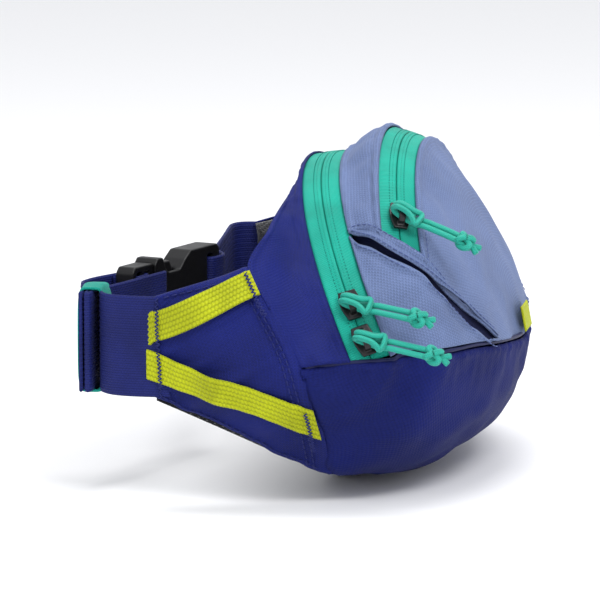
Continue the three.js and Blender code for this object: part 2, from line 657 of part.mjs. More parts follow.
function webbing() {
  add("webbing_left", ribbon([
    [-104, 62.4], [-104, 70], [-102.4, 78.5], [-96.4, 84.3], [-87, 85.7], [-80, 84.8],
    planAt(-32, -LEG_OUT), planAt(3.7, -LEG_OUT),
  ]), "navy_webbing");
  add("webbing_stack", ribbon([
    [-79.6, 88.2], [-97.6, 88.2], [-98.6, 89.1], [-97.6, 90], [-81, 90], [-80, 90.9], [-81, 91.8], [-98, 91.8],
  ]), "navy_webbing");
  const tail = [[-78.3, 92.2], [-75.5, 96], [-70, 97.4], [-60, 94.6], planAt(-10, 6.9)];
  add("webbing_tail", ribbon(tail), "navy_webbing");
  add("webbing_right", ribbon([
    [104, 62.4], [102.5, 68], [97, 71], [88, 70.4], [60, 67.4], [32, 65], planAt(62, 2.6), planAt(55, LOOP_OUT),
    planAt(44.9, LOOP_OUT), planAt(43.6, 4.9), planAt(43.6, -4.9), planAt(44.9, -LOOP_OUT),
    planAt(55, -LOOP_OUT), planAt(62, 0.6),
  ]), "navy_webbing");
  add("adjuster_fold", ribbon([
    planAt(-15, -FOLD_OUT), planAt(-6.7, -FOLD_OUT), planAt(-5.4, -3.9),
    planAt(-5.4, 3.9), planAt(-6.7, FOLD_OUT), planAt(-15, FOLD_OUT),
  ]), "navy_webbing");

  const band = toManifold(box(-94, -80, 82.6, 94.6, 44, 86));
  const inside = toManifold(box(-95, -79, 83.6, 93.6, 45, 85));
  add("elastic_keeper", fromManifold(band.subtract(inside)), "teal_elastic");
}

// ---- Side-release buckle ----------------------------------------------------------------------------------
function extruded(shape, thick) {
  return new THREE.ExtrudeGeometry(shape, { depth: thick, bevelEnabled: false, curveSegments: 4 })
    .rotateX(Math.PI / 2).translate(0, thick / 2, 0);
}

function outline(points) {
  const shape = new THREE.Shape();
  points.forEach(([x, y], i) => (i ? shape.lineTo(x, y) : shape.moveTo(x, y)));
  shape.closePath();
  return shape;
}

const CAVITY_HALF = 21.8;
const NOTCH_HALF = 17.5;
function femaleHalf() {
  const half = [
    [0, BUCKLE_HALF_HIGH - 2], [2, BUCKLE_HALF_HIGH], [6, BUCKLE_HALF_HIGH], [8.5, NOTCH_HALF + 1.5],
    [11, NOTCH_HALF], [20, NOTCH_HALF], [24, BUCKLE_HALF_HIGH - 3], [29, BUCKLE_HALF_HIGH],
    [BUCKLE_LONG - 2, BUCKLE_HALF_HIGH], [BUCKLE_LONG, BUCKLE_HALF_HIGH - 2],
  ];
  const under = half.map(([x, y]) => [x, -y]).reverse();
  const solid = toManifold(extruded(outline([...half, ...under]), BUCKLE_THICK))
    .subtract(toManifold(box(-1, PRONG_LONG + 2, -2.7, 2.7, -CAVITY_HALF, CAVITY_HALF)))
    .subtract(toManifold(box(42, 46, -6, 6, -20.5, 20.5)));
  add("buckle_female", fromManifold(solid).applyMatrix4(onBuckle), "plastic");
}

const MALE_THICK = 8;
function maleHalf() {
  const t = MALE_THICK / 2;
  const slot = (s0, s1) => toManifold(box(s0, s1, -t - 1, t + 1, -20.2, 20.2));
  const base = outline([[-16, -20.5], [-14, -22.5], [-0.5, -22.5], [-0.5, 22.5], [-14, 22.5], [-16, 20.5]]);
  const solid = toManifold(extruded(base, MALE_THICK))
    .subtract(slot(-13, -9.5))
    .subtract(slot(-7, -3.8))
    .add(toManifold(box(-1, 13, -2.2, 2.2, -3, 3)));
  add("buckle_male", fromManifold(solid).applyMatrix4(onBuckle), "plastic");
  const prong = [
    [-0.1, 13.5], [12, 14.5], [PRONG_LONG, 16], [PRONG_LONG - 0.5, 18.5],
    [16, 21.5], [10, 21.5], [7.5, 18], [-0.1, 18],
  ];
  for (const [name, side] of [["upper", 1], ["lower", -1]]) {
    const arm = extruded(outline(prong.map(([x, y]) => [x, side * y])), 4.6);
    add(`buckle_prong_${name}`, arm.applyMatrix4(onBuckle), "plastic");
  }
}

// ---- A plain patch sewn low on the front panel ------------------------------------------------------------
function frontPatch() {
  const plate = box(-9, 9, -0.4, 0.4, -5, 5);
  add("front_patch", plate.rotateX(-0.2).translate(0, BAG_FRONT_Y + 0.1, 63.6), "patch");
}

// ---- The whole pack ---------------------------------------------------------------------------------------
shellPanels();
bottomPanel();
backPanels();
divider();
zipParts("main_zip", mainZip, mainZip.half - 0.02, 30);
zipParts("front_zip", frontZip, 0.84, 22);
slidersAndPulls();
wings();
webbing();
femaleHalf();
maleHalf();
frontPatch();
for (const mesh of group.children) mesh.geometry.translate(0, -DATUM_Y, -FLOOR_Z);

export default group;
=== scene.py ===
import math

import bpy
import numpy as np
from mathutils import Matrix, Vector, noise


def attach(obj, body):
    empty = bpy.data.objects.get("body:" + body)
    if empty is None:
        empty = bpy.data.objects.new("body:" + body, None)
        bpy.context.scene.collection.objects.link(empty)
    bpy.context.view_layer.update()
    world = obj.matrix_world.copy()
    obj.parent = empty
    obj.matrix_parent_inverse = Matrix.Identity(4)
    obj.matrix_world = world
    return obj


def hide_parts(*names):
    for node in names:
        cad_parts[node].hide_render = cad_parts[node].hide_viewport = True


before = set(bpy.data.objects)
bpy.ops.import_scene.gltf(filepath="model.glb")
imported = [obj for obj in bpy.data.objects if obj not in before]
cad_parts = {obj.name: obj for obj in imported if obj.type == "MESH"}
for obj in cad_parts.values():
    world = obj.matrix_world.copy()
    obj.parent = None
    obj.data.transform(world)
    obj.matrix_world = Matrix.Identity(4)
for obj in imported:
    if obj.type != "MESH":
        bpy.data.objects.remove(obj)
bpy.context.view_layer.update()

# A waist pack. Shapes are worked out in millimetres from the bag's own datum, then set in the frame in
# metres: -Y is the bag's front, +Y is the wearer's side, X runs across the wearer.
scene = bpy.context.scene
scene.view_settings.view_transform = "Standard"

# ---- Sizes, in millimetres ----
DATUM = np.array([0.0, 15.45, 3.4])
SEAM_Z = 59.0
BAG_HALF_WIDTH = 109.0
BAG_FRONT_Y = -66.0
TAPE_HALF = 7.2
TAPE_HIDDEN = 1.3  # tape under each panel's folded edge
TAPE_DROP = 0.8  # how far the hidden tape dips for its width
TOP_TURN = 0.6  # radians either side of a zip's top, where the hidden tape folds down
ZIP_SLIT = 0.08
WEB_HIGH = 38.5
WEB_THICK = 1.4
WEB_MID_Z = 64.7
STRAP_WIDE = 11.0
STRAP_THICK = 1.1
WING_TIP = (104.0, 62.0)
WING_BULGE = 4.0
CORD_RADIUS = 1.12
FABRIC = 0.9


def metres(points):
    return (np.asarray(points, float) - DATUM) * 0.001


# ---- Camera ----
CAMERA_AZIMUTH, CAMERA_ELEVATION = -80.0, 9.0
CAMERA_DISTANCE = 1.6
CAMERA_TARGET = Vector(metres((-45.6, 16.6, 74.7)))


def add_camera():
    a, e = math.radians(CAMERA_AZIMUTH), math.radians(CAMERA_ELEVATION)
    back = Vector((math.sin(a) * math.cos(e), -math.cos(a) * math.cos(e), math.sin(e)))
    data = bpy.data.cameras.new("camera")
    data.lens = 247.7
    data.clip_end = 20
    camera = bpy.data.objects.new("camera", data)
    scene.collection.objects.link(camera)
    camera.location = CAMERA_TARGET + back * CAMERA_DISTANCE
    camera.rotation_euler = (-back).to_track_quat("-Z", "Y").to_euler()
    scene.camera = camera


add_camera()


# ---- Curves and surfaces ----
def monotone(knots, values, x):
    """A smooth curve through (knots, values) that doesn't overshoot.

    values is (n,), (n, 3) or (n, len(x), 3).
    """
    knots, values, x = np.asarray(knots, float), np.asarray(values, float), np.asarray(x, float)
    step = np.diff(knots).reshape((-1,) + (1,) * (values.ndim - 1))
    slope = np.diff(values, axis=0) / step
    a, b = slope[:-1], slope[1:]
    w1, w2 = 2 * step[1:] + step[:-1], step[1:] + 2 * step[:-1]
    with np.errstate(divide="ignore", invalid="ignore"):
        middle = np.where(a * b > 0, (w1 + w2) / (w1 / a + w2 / b), 0.0)
    tangent = np.concatenate([slope[:1], middle, slope[-1:]])
    i = np.clip(np.searchsorted(knots, x, side="right") - 1, 0, len(knots) - 2)
    pick = (lambda table, k: table[k, np.arange(len(x))]) if values.ndim == 3 else (lambda table, k: table[k])
    h = knots[i + 1] - knots[i]
    t = (x - knots[i]) / h
    if values.ndim > 1:
        h, t = h[..., None], t[..., None]
    t2, t3 = t * t, t * t * t
    start = (2 * t3 - 3 * t2 + 1) * pick(values, i) + (t3 - 2 * t2 + t) * h * pick(tangent, i)
    return start + (3 * t2 - 2 * t3) * pick(values, i + 1) + (t3 - t2) * h * pick(tangent, i + 1)


def curve(keys):
    """A smooth path through [(t, point), ...]."""
    return lambda t: monotone([k for k, _ in keys], [p for _, p in keys], t)


def bell(x, middle, width):
    return np.exp(-((x - middle) / width) ** 2)


def run_length(path):
    """The distance along a path at each of its points."""
    return np.concatenate([[0], np.cumsum(np.linalg.norm(np.diff(path, axis=0), axis=1))])


def circle_rib(centre, up, radius, base_z):
    """A rib along a circle's upper arc, from its left end at base_z to its right end."""
    half = math.acos((base_z - centre[2]) / (radius * up[2]))

    def rib(u):
        turn = (2 * np.asarray(u, float) - 1) * half
        across = np.stack([radius * np.sin(turn), 0 * turn, 0 * turn], -1)
        return centre + (radius * np.cos(turn))[..., None] * up + across
    return rib


def arc_of(half_width, base_y, base_z, top_y, top_z):
    """The centre, upward direction and radius of a leaning arc with a given base and top."""
    rise = math.hypot(top_y - base_y, top_z - base_z)
    up = np.array([0, (top_y - base_y) / rise, (top_z - base_z) / rise])
    radius = (half_width ** 2 + rise ** 2) / (2 * rise)
    return np.array([0, base_y, base_z]) + up * (rise - radius), up, radius


def arc_rib(half_width, base_y, base_z, top_y, top_z):
    return circle_rib(*arc_of(half_width, base_y, base_z, top_y, top_z), base_z)


class Zip:
    """A zip's middle arc and the cone that its tapes lie on."""

    def __init__(self, half_width, base_y, base_z, top_y, top_z, cone_degrees):
        self.centre, self.up, self.radius = arc_of(half_width, base_y, base_z, top_y, top_z)
        self.forward = np.array([0, -self.up[2], self.up[1]])
        self.cone = math.radians(cone_degrees)
        self.half = math.acos((base_z - self.centre[2]) / (self.radius * self.up[2]))

    def at(self, w, turn, depth=0.0):
        """Points w millimetres forward of the middle arc on the cone, at a turn from its top, and so deep."""
        w, turn, depth = np.broadcast_arrays(np.asarray(w, float), turn, depth)
        r = self.radius - w * math.sin(self.cone) - depth * math.cos(self.cone)
        along = w * math.cos(self.cone) - depth * math.sin(self.cone)
        across = np.stack([r * np.sin(turn), 0 * r, 0 * r], -1)
        rise = (r * np.cos(turn))[..., None] * self.up
        return self.centre + along[..., None] * self.forward + rise + across

    def rib(self, w, base_z):
        centre = self.centre + self.forward * w * math.cos(self.cone)
        return circle_rib(centre, self.up, self.radius - w * math.sin(self.cone), base_z)

    def place(self, turn, points):
        """Sets points given along X (travel), Y (towards the wearer), Z (out) on the zip's arc."""
        here = self.at(0, turn)
        out = unit(self.at(0, turn, -1.0) - here)
        along = unit(self.at(0, turn + 1e-3) - self.at(0, turn - 1e-3))
        return here + np.asarray(points, float) @ np.stack([along, np.cross(out, along), out])


def unit(v):
    return v / np.linalg.norm(v, axis=-1, keepdims=True)


MAIN_ZIP = Zip(102.9, -20.9, 61.6, 13, 127.7, 20)
FRONT_ZIP = Zip(90.9, -37.5, 62.8, -18.3, 136, 32)
FRONT_REACH = 0.84
SLIDERS = {"main_lower": (MAIN_ZIP, -1.175), "main_upper": (MAIN_ZIP, -1.035), "front": (FRONT_ZIP, -0.775)}

LEFT_REAR_EDGE = curve([
    (0, (-BAG_HALF_WIDTH, 5.4, SEAM_Z)), (0.1, (-107, 19, 83)), (0.15, (-100, 27, 96)),
    (0.215, (-85, 22, 107.5)), (0.34, (-46, 21.5, 115)), (0.5, (0, 21.5, 119.5)),
])
MIRROR = np.array([-1.0, 1.0, 1.0])
HANDS = {"left": np.ones(3), "right": MIRROR}


def mirrored_half(left, t):
    """A path whose second half mirrors its first."""
    t = np.asarray(t, float)
    sign = np.where(t > 0.5, -1.0, 1.0)[..., None]
    p = left(np.clip(np.minimum(t, 1 - t), 0, 0.5))
    return np.concatenate([p[..., :1] * sign, p[..., 1:]], -1)


RIB_AT = [0, 25, 39.5, 61.5, 76, 98, 128, 156, 166]
RIBS = [
    lambda u: mirrored_half(LEFT_REAR_EDGE, u),
    MAIN_ZIP.rib(-TAPE_HALF, 61),
    MAIN_ZIP.rib(TAPE_HALF, 62),
    FRONT_ZIP.rib(-TAPE_HALF, 62.8),
    FRONT_ZIP.rib(TAPE_HALF, 62.8),
    arc_rib(67.6, -53.5, 62.3, -40, 118),
    arc_rib(39.4, -62.6, 60, -55.5, 91),
    arc_rib(10.6, BAG_FRONT_Y + 0.2, 57.5, -64, 68),
    arc_rib(1.2, BAG_FRONT_Y + 0.1, 56.8, BAG_FRONT_Y + 0.3, 58),
]
MAIN_REAR, MAIN_FRONT, FRONT_REAR, FRONT_FRONT, NOSE = 25, 39.5, 61.5, 76, 166


def dome(v, u):
    """The bag's upper surface: v runs from the rear edge to the nose, u from the left base to the right."""
    v, u = np.broadcast_arrays(np.asarray(v, float), np.asarray(u, float))
    table = np.stack([rib(u.ravel()) for rib in RIBS])
    return monotone(RIB_AT, table, v.ravel()).reshape(v.shape + (3,))


def share_of(v, u, length):
    """The share of a rib's arc that a length takes, near u."""
    e = 0.004
    return length * 2 * e / np.linalg.norm(dome(v, u + e) - dome(v, u - e), axis=-1)


SLIT_FRONT = 123
SLIT_KNOTS = [MAIN_FRONT, FRONT_REAR, FRONT_FRONT, 98, SLIT_FRONT]


def slit_high(v):
    """The slit's upper lip."""
    base = monotone(SLIT_KNOTS, [0.198, 0.146, 0.112, 0.062, 0.004], v)
    return base + share_of(v, base, monotone([MAIN_FRONT, 95, SLIT_FRONT], [5.2, 5.2, 1.2], v))


def slit_low(v):
    """The slit's lower lip, which gapes near the zip and again towards the front."""
    gape = monotone([MAIN_FRONT, 44, 54, 72, 84, 101, 113, SLIT_FRONT],
                    [1.0, 4.4, 4.2, 2.4, 4.4, 7.2, 5.8, 1.2], v)
    return slit_high(v) - share_of(v, slit_high(v), gape)


def welt_top(v):
    """The top of the band sewn over the slit. It narrows to a folded edge in front of the zip."""
    wide = monotone([MAIN_FRONT, 46, 56, 76, 83, 91, SLIT_FRONT], [2.4, 6.2, 7.6, 7.2, 5.2, 2.4, 2.0], v)
    return slit_high(v) + share_of(v, slit_high(v), wide)


def floor_at(x):
    return monotone([0, 26, 52, 87, BAG_HALF_WIDTH + 1], [3.4, 3.4, 8.2, 14, 23.4], np.abs(x))


LEFT_KEEL = curve([
    (0, (-108.6, 4, 55.5)), (0.08, (-107, 2, 46)), (0.2, (-101, -1, 31)),
    (0.3, (-87, -2, 14)), (0.4, (-52, 1, 6)), (0.5, (0, 2.5, 1)),
])


def bowl(q, w):
    """The bottom panel: q runs round the bag, w from the rear wall's lower edge to the dome's seam."""
    q, w = np.broadcast_arrays(np.asarray(q, float), np.asarray(w, float))
    low = mirrored_half(LEFT_KEEL, q)
    high = dome(np.minimum(q, 1 - q) * 2 * NOSE, 0 * q)
    high[..., 0] *= np.where(q > 0.5, -1, 1)
    turn = w * math.pi / 2
    out = (np.sin(turn) ** (1 / 1.2))[..., None]
    rise = 1 - np.cos(turn) ** (1 / 1.2)
    p = low + (high - low) * out
    z = low[..., 2] + (high[..., 2] - low[..., 2]) * rise
    p[..., 2] = np.maximum(z, floor_at(p[..., 0]))
    return p


WING_ROOT = curve([
    (0, (-87, -2, 14)), (0.24, (-101, -1, 32)), (0.41, (-107, 2, 47)),
    (0.54, (-BAG_HALF_WIDTH, 5.4, SEAM_Z)), (0.83, (-107, 19, 83)), (1, (-100, 27, 96)),
])


def wing(t, u):
    """The left wing's outer face: t runs from the bag to the belt, u from its lower edge to its upper."""
    t, u = np.broadcast_arrays(np.asarray(t, float), np.asarray(u, float))
    root = WING_ROOT(u)
    tip = np.stack([0 * u - WING_TIP[0], 0 * u + WING_TIP[1], WEB_MID_Z + (u - 0.5) * WEB_HIGH], -1)
    p = root + (tip - root) * t[..., None]
    p[..., 0] -= WING_BULGE * np.sin(math.pi * t) * np.sin(math.pi * np.clip(u, 0, 1))
    return p


# ---- Meshes ----
def link(obj, look, body, replaces=()):
    scene.collection.objects.link(obj)
    obj.data.materials.append(look)
    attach(obj, body)
    if replaces:
        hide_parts(*replaces)
    return obj


def mesh_object(name, points, faces, look, body="pack", replaces=()):
    mesh = bpy.data.meshes.new(name)
    mesh.from_pydata(metres(points).tolist(), [], faces)
    mesh.validate()
    mesh.shade_smooth()
    return link(bpy.data.objects.new(name, mesh), look, body, replaces)


def set_weave(obj, uv):
    """Stores each vertex's millimetres along and across the cloth in a map called weave."""
    loops = np.array([loop.vertex_index for loop in obj.data.loops])
    obj.data.uv_layers.new(name="weave").data.foreach_set("uv", uv[loops].ravel())


def from_start(points, axis):
    """Distance along each line of a grid, from its start."""
    step = np.linalg.norm(np.diff(points, axis=axis), axis=-1)
    pad = [(0, 0), (0, 0)]
    pad[axis] = (1, 0)
    return np.cumsum(np.pad(step, pad), axis=axis)


def lengths(points, axis):
    """Distance along each line of a grid, from its middle."""
    total = from_start(points, axis)
    return total - np.take(total, [total.shape[axis] // 2], axis=axis)


def crossed(points):
    return np.cross(np.gradient(points, axis=0), np.gradient(points, axis=1))


def outwards(points, away_from):
    """The directions away from a point, or a direction field of the same shape."""
    return points - away_from if np.ndim(away_from) == 1 else away_from


def normals_of(points, away_from):
    """Unit normals of a grid, turned away from a point (or along a direction field)."""
    n = unit(crossed(points) + 1e-12)
    return n * np.sign(np.sum(n * outwards(points, away_from)))


def grid_mesh(name, points, look, away_from, thick=FABRIC, replaces=()):
    """A sheet of cloth from a grid of points, thickened inwards."""
    rows, cols = points.shape[:2]
    flip = np.sum(crossed(points) * outwards(points, away_from)) < 0
    faces = []
    for i in range(rows - 1):
        for j in range(cols - 1):
            k = i * cols + j
            quad = (k, k + cols, k + cols + 1, k + 1)
            faces.append(quad[::-1] if flip else quad)
    obj = mesh_object(name, points.reshape(-1, 3), faces, look, replaces=replaces)
    set_weave(obj, np.stack([lengths(points, 1), lengths(points, 0)], -1).reshape(-1, 2))
    solid = obj.modifiers.new("thick", "SOLIDIFY")
    solid.thickness = thick * 0.001
    solid.offset = -1
    solid.use_even_offset = False
    return obj


def soft_noise(points, scale, seed):
    """Smooth noise from -1 to 1 at each point, with features about scale millimetres across."""
    flat = points.reshape(-1, 3) / np.array(scale, float) + seed * 17.3
    return np.array([noise.noise(Vector(p)) for p in flat]).reshape(points.shape[:-1]) * 1.6


FOLD_FLOOR = 1.0  # the deepest that a fold goes below its surface


def rumple(points, away_from, folds, fade=1.0, sink=0.0):
    """Moves a grid along its normals by a sum of (amount, scale, seed) folds, and sinks it a little."""
    n = normals_of(points, away_from)
    shift = sum(amount * soft_noise(points, scale, seed) for amount, scale, seed in folds)
    shift = np.where(shift < 0, FOLD_FLOOR * np.tanh(shift / FOLD_FLOOR), shift)
    return points + n * ((shift - sink) * fade)[..., None]


CALM_REACH = 7.0


def calm_edges(points):
    """Nearly 0 at a grid's first and last rows, rising to 1 at CALM_REACH in."""
    run = from_start(points, 0)
    return np.clip(np.minimum(run, run[-1:] - run) / CALM_REACH, 0.05, 1) ** 1.3


def bar_section(width, thick, across, ribs, rib_high):
    """A flat bar's section, with rounded edges and ribs along its face, for webbing and straps."""
    half = width / 2 - thick / 2
    x = np.linspace(-half, half, across)
    top = thick / 2 + rib_high * np.cos(x / width * 2 * math.pi * ribs)
    right = [(half + thick / 2 * math.sin(a), thick / 2 * math.cos(a)) for a in (0.8, 1.57, 2.34)]
    left = [(-x_, y_) for x_, y_ in right[::-1]]
    upper = list(zip(x, top))
    lower = [(x_, -thick / 2) for x_ in x[::-1]]
    return np.array(upper + right + lower + left)


def ring_faces(count, ring, closed=False):
    """Quads between count rings of points, with a cap at each end unless they close on themselves."""
    faces = []
    for i in range(count if closed else count - 1):
        for j in range(ring):
            k, n = (j + 1) % ring, (i + 1) % count
            faces.append((i * ring + j, i * ring + k, n * ring + k, n * ring + j))
    if not closed:
        faces.append(tuple(range(ring))[::-1])
        faces.append(tuple((count - 1) * ring + j for j in range(ring)))
    return faces


def swept(node, path, ups, outs, section, look, body="pack", swell=1.0):
    """Webbing in place of a CAD node: a section swept along a path, across it along ups and outs."""
    count, ring = len(path), len(section)
    scale = np.broadcast_to(swell, count)
    points = (path[:, None] + section[None, :, :1] * ups[:, None] * scale[:, None, None]
              + section[None, :, 1:] * outs[:, None])
    faces = ring_faces(count, ring)
    if np.dot(np.cross(ups[0], outs[0]), path[1] - path[0]) > 0:
        faces = [f[::-1] for f in faces]
    obj = mesh_object(f"{node}_web", points.reshape(-1, 3), faces, look, body, [node])
    set_weave(obj, np.stack([np.repeat(run_length(path), ring), np.tile(section[:, 0], count)], -1))
    make_outward(obj)


def make_outward(obj):
    """Turns a closed mesh's faces outwards."""
    volume = 0.0
    for face in obj.data.polygons:
        a, b, c = (obj.data.vertices[k].co for k in face.vertices[:3])
        d = obj.data.vertices[face.vertices[-1]].co
        volume += a.dot(b.cross(c)) + (a.dot(c.cross(d)) if len(face.vertices) == 4 else 0)
    if volume < 0:
        obj.data.flip_normals()


def resample(points, step):
    """The same path with points about a step apart."""
    points = np.asarray(points, float)
    along = run_length(points)
    wanted = np.linspace(0, along[-1], max(2, int(round(along[-1] / step)) + 1))
    return np.stack([np.interp(wanted, along, points[:, k]) for k in range(points.shape[1])], -1)


def rounded(points):
    """A path through a few plan points, with its corners eased."""
    points = np.asarray(points, float)
    for _ in range(3):
        cut = np.empty((2 * (len(points) - 1), points.shape[1]))
        cut[0::2] = points[:-1] * 0.75 + points[1:] * 0.25
        cut[1::2] = points[:-1] * 0.25 + points[1:] * 0.75
        points = np.concatenate([points[:1], cut, points[-1:]])
    return points


# The pitch of each kind of stitch, its length and its thread's radius.
TAPE_STITCH = (1.5, 0.65, 0.19)
SHELL_STITCH = (2.4, 1.9, 0.24)
WING_STITCH = (3.0, 2.3, 0.26)
THREAD_RING_AT = (-0.5, -0.38, -0.15, 0.15, 0.38, 0.5)  # shares of a stitch's length
THREAD_RING_RADIUS = (0.35, 0.85, 1.0, 1.0, 0.85, 0.35)  # shares of the thread's radius
STITCH_FACES = ring_faces(6, 6)


def thread_bodies(path, normals, pitch, long, radius, lift=0.25, zigzag=0.0):
    """Stitches along a line: short rounded bodies of thread."""
    along = run_length(path)
    verts, faces = [], []
    angles = np.arange(6) * math.pi / 3

    def on_line(s, values):
        return np.array([np.interp(s, along, values[:, a]) for a in range(3)])

    for k in range(int(along[-1] / pitch)):
        s = (k + 0.5) * pitch
        here = on_line(s, path)
        up = unit(on_line(s, normals))
        run = unit(on_line(s + 0.3, path) - here)
        side = np.cross(up, run)
        if zigzag:
            run = unit(run * pitch + side * zigzag * (1 if k % 2 else -1))
            side = np.cross(up, run)
        start = len(verts)
        for at, r in zip(THREAD_RING_AT, THREAD_RING_RADIUS):
            middle = here + run * at * long + up * (lift + radius * (0.5 - 2.4 * at * at))
            for angle in angles:
                verts.append(middle + (side * math.cos(angle) + up * math.sin(angle) * 0.8) * radius * r)
        faces += [tuple(start + j for j in face) for face in STITCH_FACES]
    return verts, faces


def stitches(name, rows, look):
    """One piece from several rows of thread, each (path, normals, pitch, long, radius, options)."""
    verts, faces = [], []
    for path, normals, pitch, long, radius, options in rows:
        v, f = thread_bodies(path, normals, pitch, long, radius, **options)
        faces += [tuple(len(verts) + k for k in face) for face in f]
        verts += v
    mesh_object(name, np.array(verts), faces, look)


# ---- Materials ----
def linear(red, green, blue):
    """A linear colour from 0 to 255 display values."""
    shares = [c / 255 for c in (red, green, blue)]
    return tuple(((c + 0.055) / 1.055) ** 2.4 if c > 10 / 255 else c / 12.92 for c in shares) + (1,)


class Look:
    """A node material, with short names for the nodes it is made of."""

    def __init__(self, name, **sockets):
        self.material = bpy.data.materials.new(name)
        self.material.use_nodes = True
        self.tree = self.material.node_tree
        self.shader = self.tree.nodes["Principled BSDF"]
        for key, value in sockets.items():
            self.shader.inputs[key.replace("_", " ")].default_value = value

    def put(self, socket, value):
        if isinstance(value, (int, float, tuple)):
            socket.default_value = value
        else:
            self.tree.links.new(value, socket)

    def node(self, kind, *values, **settings):
        """A new node, with values or links on its first inputs."""
        node = self.tree.nodes.new("ShaderNode" + kind)
        for key, value in settings.items():
            setattr(node, key, value)
        for socket, value in zip(node.inputs, values):
            self.put(socket, value)
        return node

    def math(self, operation, a, b=0.0):
        return self.node("Math", a, b, operation=operation).outputs[0]

    def add(self, a, b):
        return self.math("ADD", a, b)

    def mul(self, a, b):
        return self.math("MULTIPLY", a, b)

    def weave(self):
        """Millimetres along and across the cloth."""
        uv = self.node("UVMap", uv_map="weave")
        return self.node("SeparateXYZ", uv.outputs[0]).outputs[:2]

    def wave(self, value, pitch):
        return self.math("SINE", self.mul(value, 2 * math.pi / pitch))

    def noise(self, size, detail=2.0, stretch=(1, 1, 1)):
        """Noise with features about size millimetres across, from the piece's own coordinates."""
        scale = self.node("Mapping", self.node("TexCoord").outputs["Object"])
        scale.inputs["Scale"].default_value = stretch
        node = self.node("TexNoise", scale.outputs[0])
        node.inputs["Scale"].default_value = 1000 / size
        node.inputs["Detail"].default_value = detail
        return node.outputs[0]

    def mix(self, factor, a, b):
        node = self.node("Mix", factor, data_type="RGBA")
        self.put(node.inputs[6], a)
        self.put(node.inputs[7], b)
        return node.outputs[2]

    def ramp(self, value, low, high):
        """0 at low, rising to 1 at high."""
        return self.node("MapRange", value, low, high).outputs[0]

    def dye(self, size, rgb, dark, light):
        """Uneven dye, in patches about size millimetres across."""
        return self.mix(self.ramp(self.noise(size, 3), 0.35, 0.65), shaded(rgb, dark), shaded(rgb, light))

    def colour(self, value):
        self.put(self.shader.inputs["Base Color"], value)

    def roughness(self, value, spread, base):
        self.put(self.shader.inputs["Roughness"], self.add(self.mul(value, spread), base))

    def bump(self, height, depth, strength):
        """Raises the surface by up to depth millimetres."""
        node = self.node("Bump", strength, depth * 0.001)
        self.put(node.inputs["Height"], height)
        self.put(self.shader.inputs["Normal"], node.outputs[0])


def shaded(rgb, factor):
    return linear(*(min(255, c * factor) for c in rgb))


def woven(name, rgb, pitch, depth, sheen, ripstop=0.0, shine=0.2, contrast=0.10, basket=False, gap_shade=0.42):
    """Plain or basket-woven nylon: yarns from two crossing waves, uneven dye, painted shade in the weave's
    low parts and a faint sheen.
    """
    look = Look(name, Roughness=0.66, Sheen_Weight=sheen, Sheen_Roughness=0.45, Specular_IOR_Level=shine)
    x, y = look.weave()
    yarn = look.mul(look.wave(x, pitch * 2), look.wave(y, pitch * 2))
    if basket:
        fine = look.mul(look.wave(x, pitch / 2), look.math("GREATER_THAN", yarn, 0.0))
        other = look.mul(look.wave(y, pitch / 2), look.math("LESS_THAN", yarn, 0.0))
        yarn = look.add(yarn, look.mul(look.add(fine, other), 0.35))
    height = look.add(look.mul(yarn, 0.5), look.mul(look.noise(0.7), 0.8))
    lines = 0.0
    if ripstop:
        grid_x = look.math("POWER", look.math("ABSOLUTE", look.wave(x, ripstop * 2)), 24)
        grid_y = look.math("POWER", look.math("ABSOLUTE", look.wave(y, ripstop * 2)), 24)
        lines = look.mul(look.math("MAXIMUM", grid_x, grid_y), 0.34)
        height = look.add(height, lines)
    look.bump(height, depth, 0.7)
    dye = look.dye(28, rgb, 1 - contrast, 1 + contrast)
    # painted shade: the weave's low parts and the gaps between yarns are mixed towards a darker copy of the
    # colour
    shadow = look.ramp(height, -0.4, 0.9)
    cloth = look.mix(shadow, look.mix(gap_shade, dye, shaded(rgb, 0.45)), dye)
    slub = look.ramp(look.noise(1.3, 2, (1, 1, 5)), 0.5, 0.75)
    cloth = look.mix(look.mul(slub, 0.25), cloth, shaded(rgb, 1.3))
    look.colour(look.mix(lines, cloth, shaded(rgb, 1.35)))
    look.roughness(look.noise(9), 0.16, 0.58)
    return look.material


def webbing_look(name, rgb, rib, depth, sheen, cross=1.1):
    """Webbing: raised ribs along its length, crossed by fine picks, with painted shade where it is low."""
    look = Look(name, Roughness=0.6, Sheen_Weight=sheen, Sheen_Roughness=0.4, Specular_IOR_Level=0.15)
    along, across = look.weave()
    ribs = look.wave(across, rib)
    shift = look.mul(look.math("SIGN", ribs), math.pi / 2)
    picks = look.math("SINE", look.add(look.mul(along, 2 * math.pi / cross), shift))
    height = look.add(look.mul(look.math("ABSOLUTE", ribs), 0.75), look.mul(picks, 0.28))
    height = look.add(height, look.mul(look.noise(0.6), 0.4))
    look.bump(height, depth, 0.85)
    dye = look.dye(16, rgb, 0.93, 1.07)
    # painted shade: the webbing is darker between its ribs and picks, where its height is low
    look.colour(look.mix(look.ramp(height, 0.0, 0.9), look.mix(0.45, dye, shaded(rgb, 0.4)), dye))
    look.roughness(look.noise(6), 0.14, 0.53)
    return look.material


def tape_look(name, rgb):
    """Zip tape: fine herringbone ribs across it."""
    look = Look(name, Roughness=0.55, Sheen_Weight=0.02, Specular_IOR_Level=0.18)
    along, across = look.weave()
    slant = look.add(along, look.mul(look.math("ABSOLUTE", across), 0.5))
    ribs = look.wave(slant, 0.85)
    height = look.add(look.mul(ribs, 0.5), look.mul(look.noise(0.8), 0.5))
    look.bump(height, 0.16, 0.8)
    dye = look.dye(22, rgb, 0.93, 1.06)
    # painted shade: the tape is darker in the troughs between its ribs
    look.colour(look.mix(look.ramp(ribs, -1.0, 0.6), look.mix(0.3, dye, shaded(rgb, 0.5)), dye))
    look.roughness(look.noise(5), 0.16, 0.47)
    return look.material


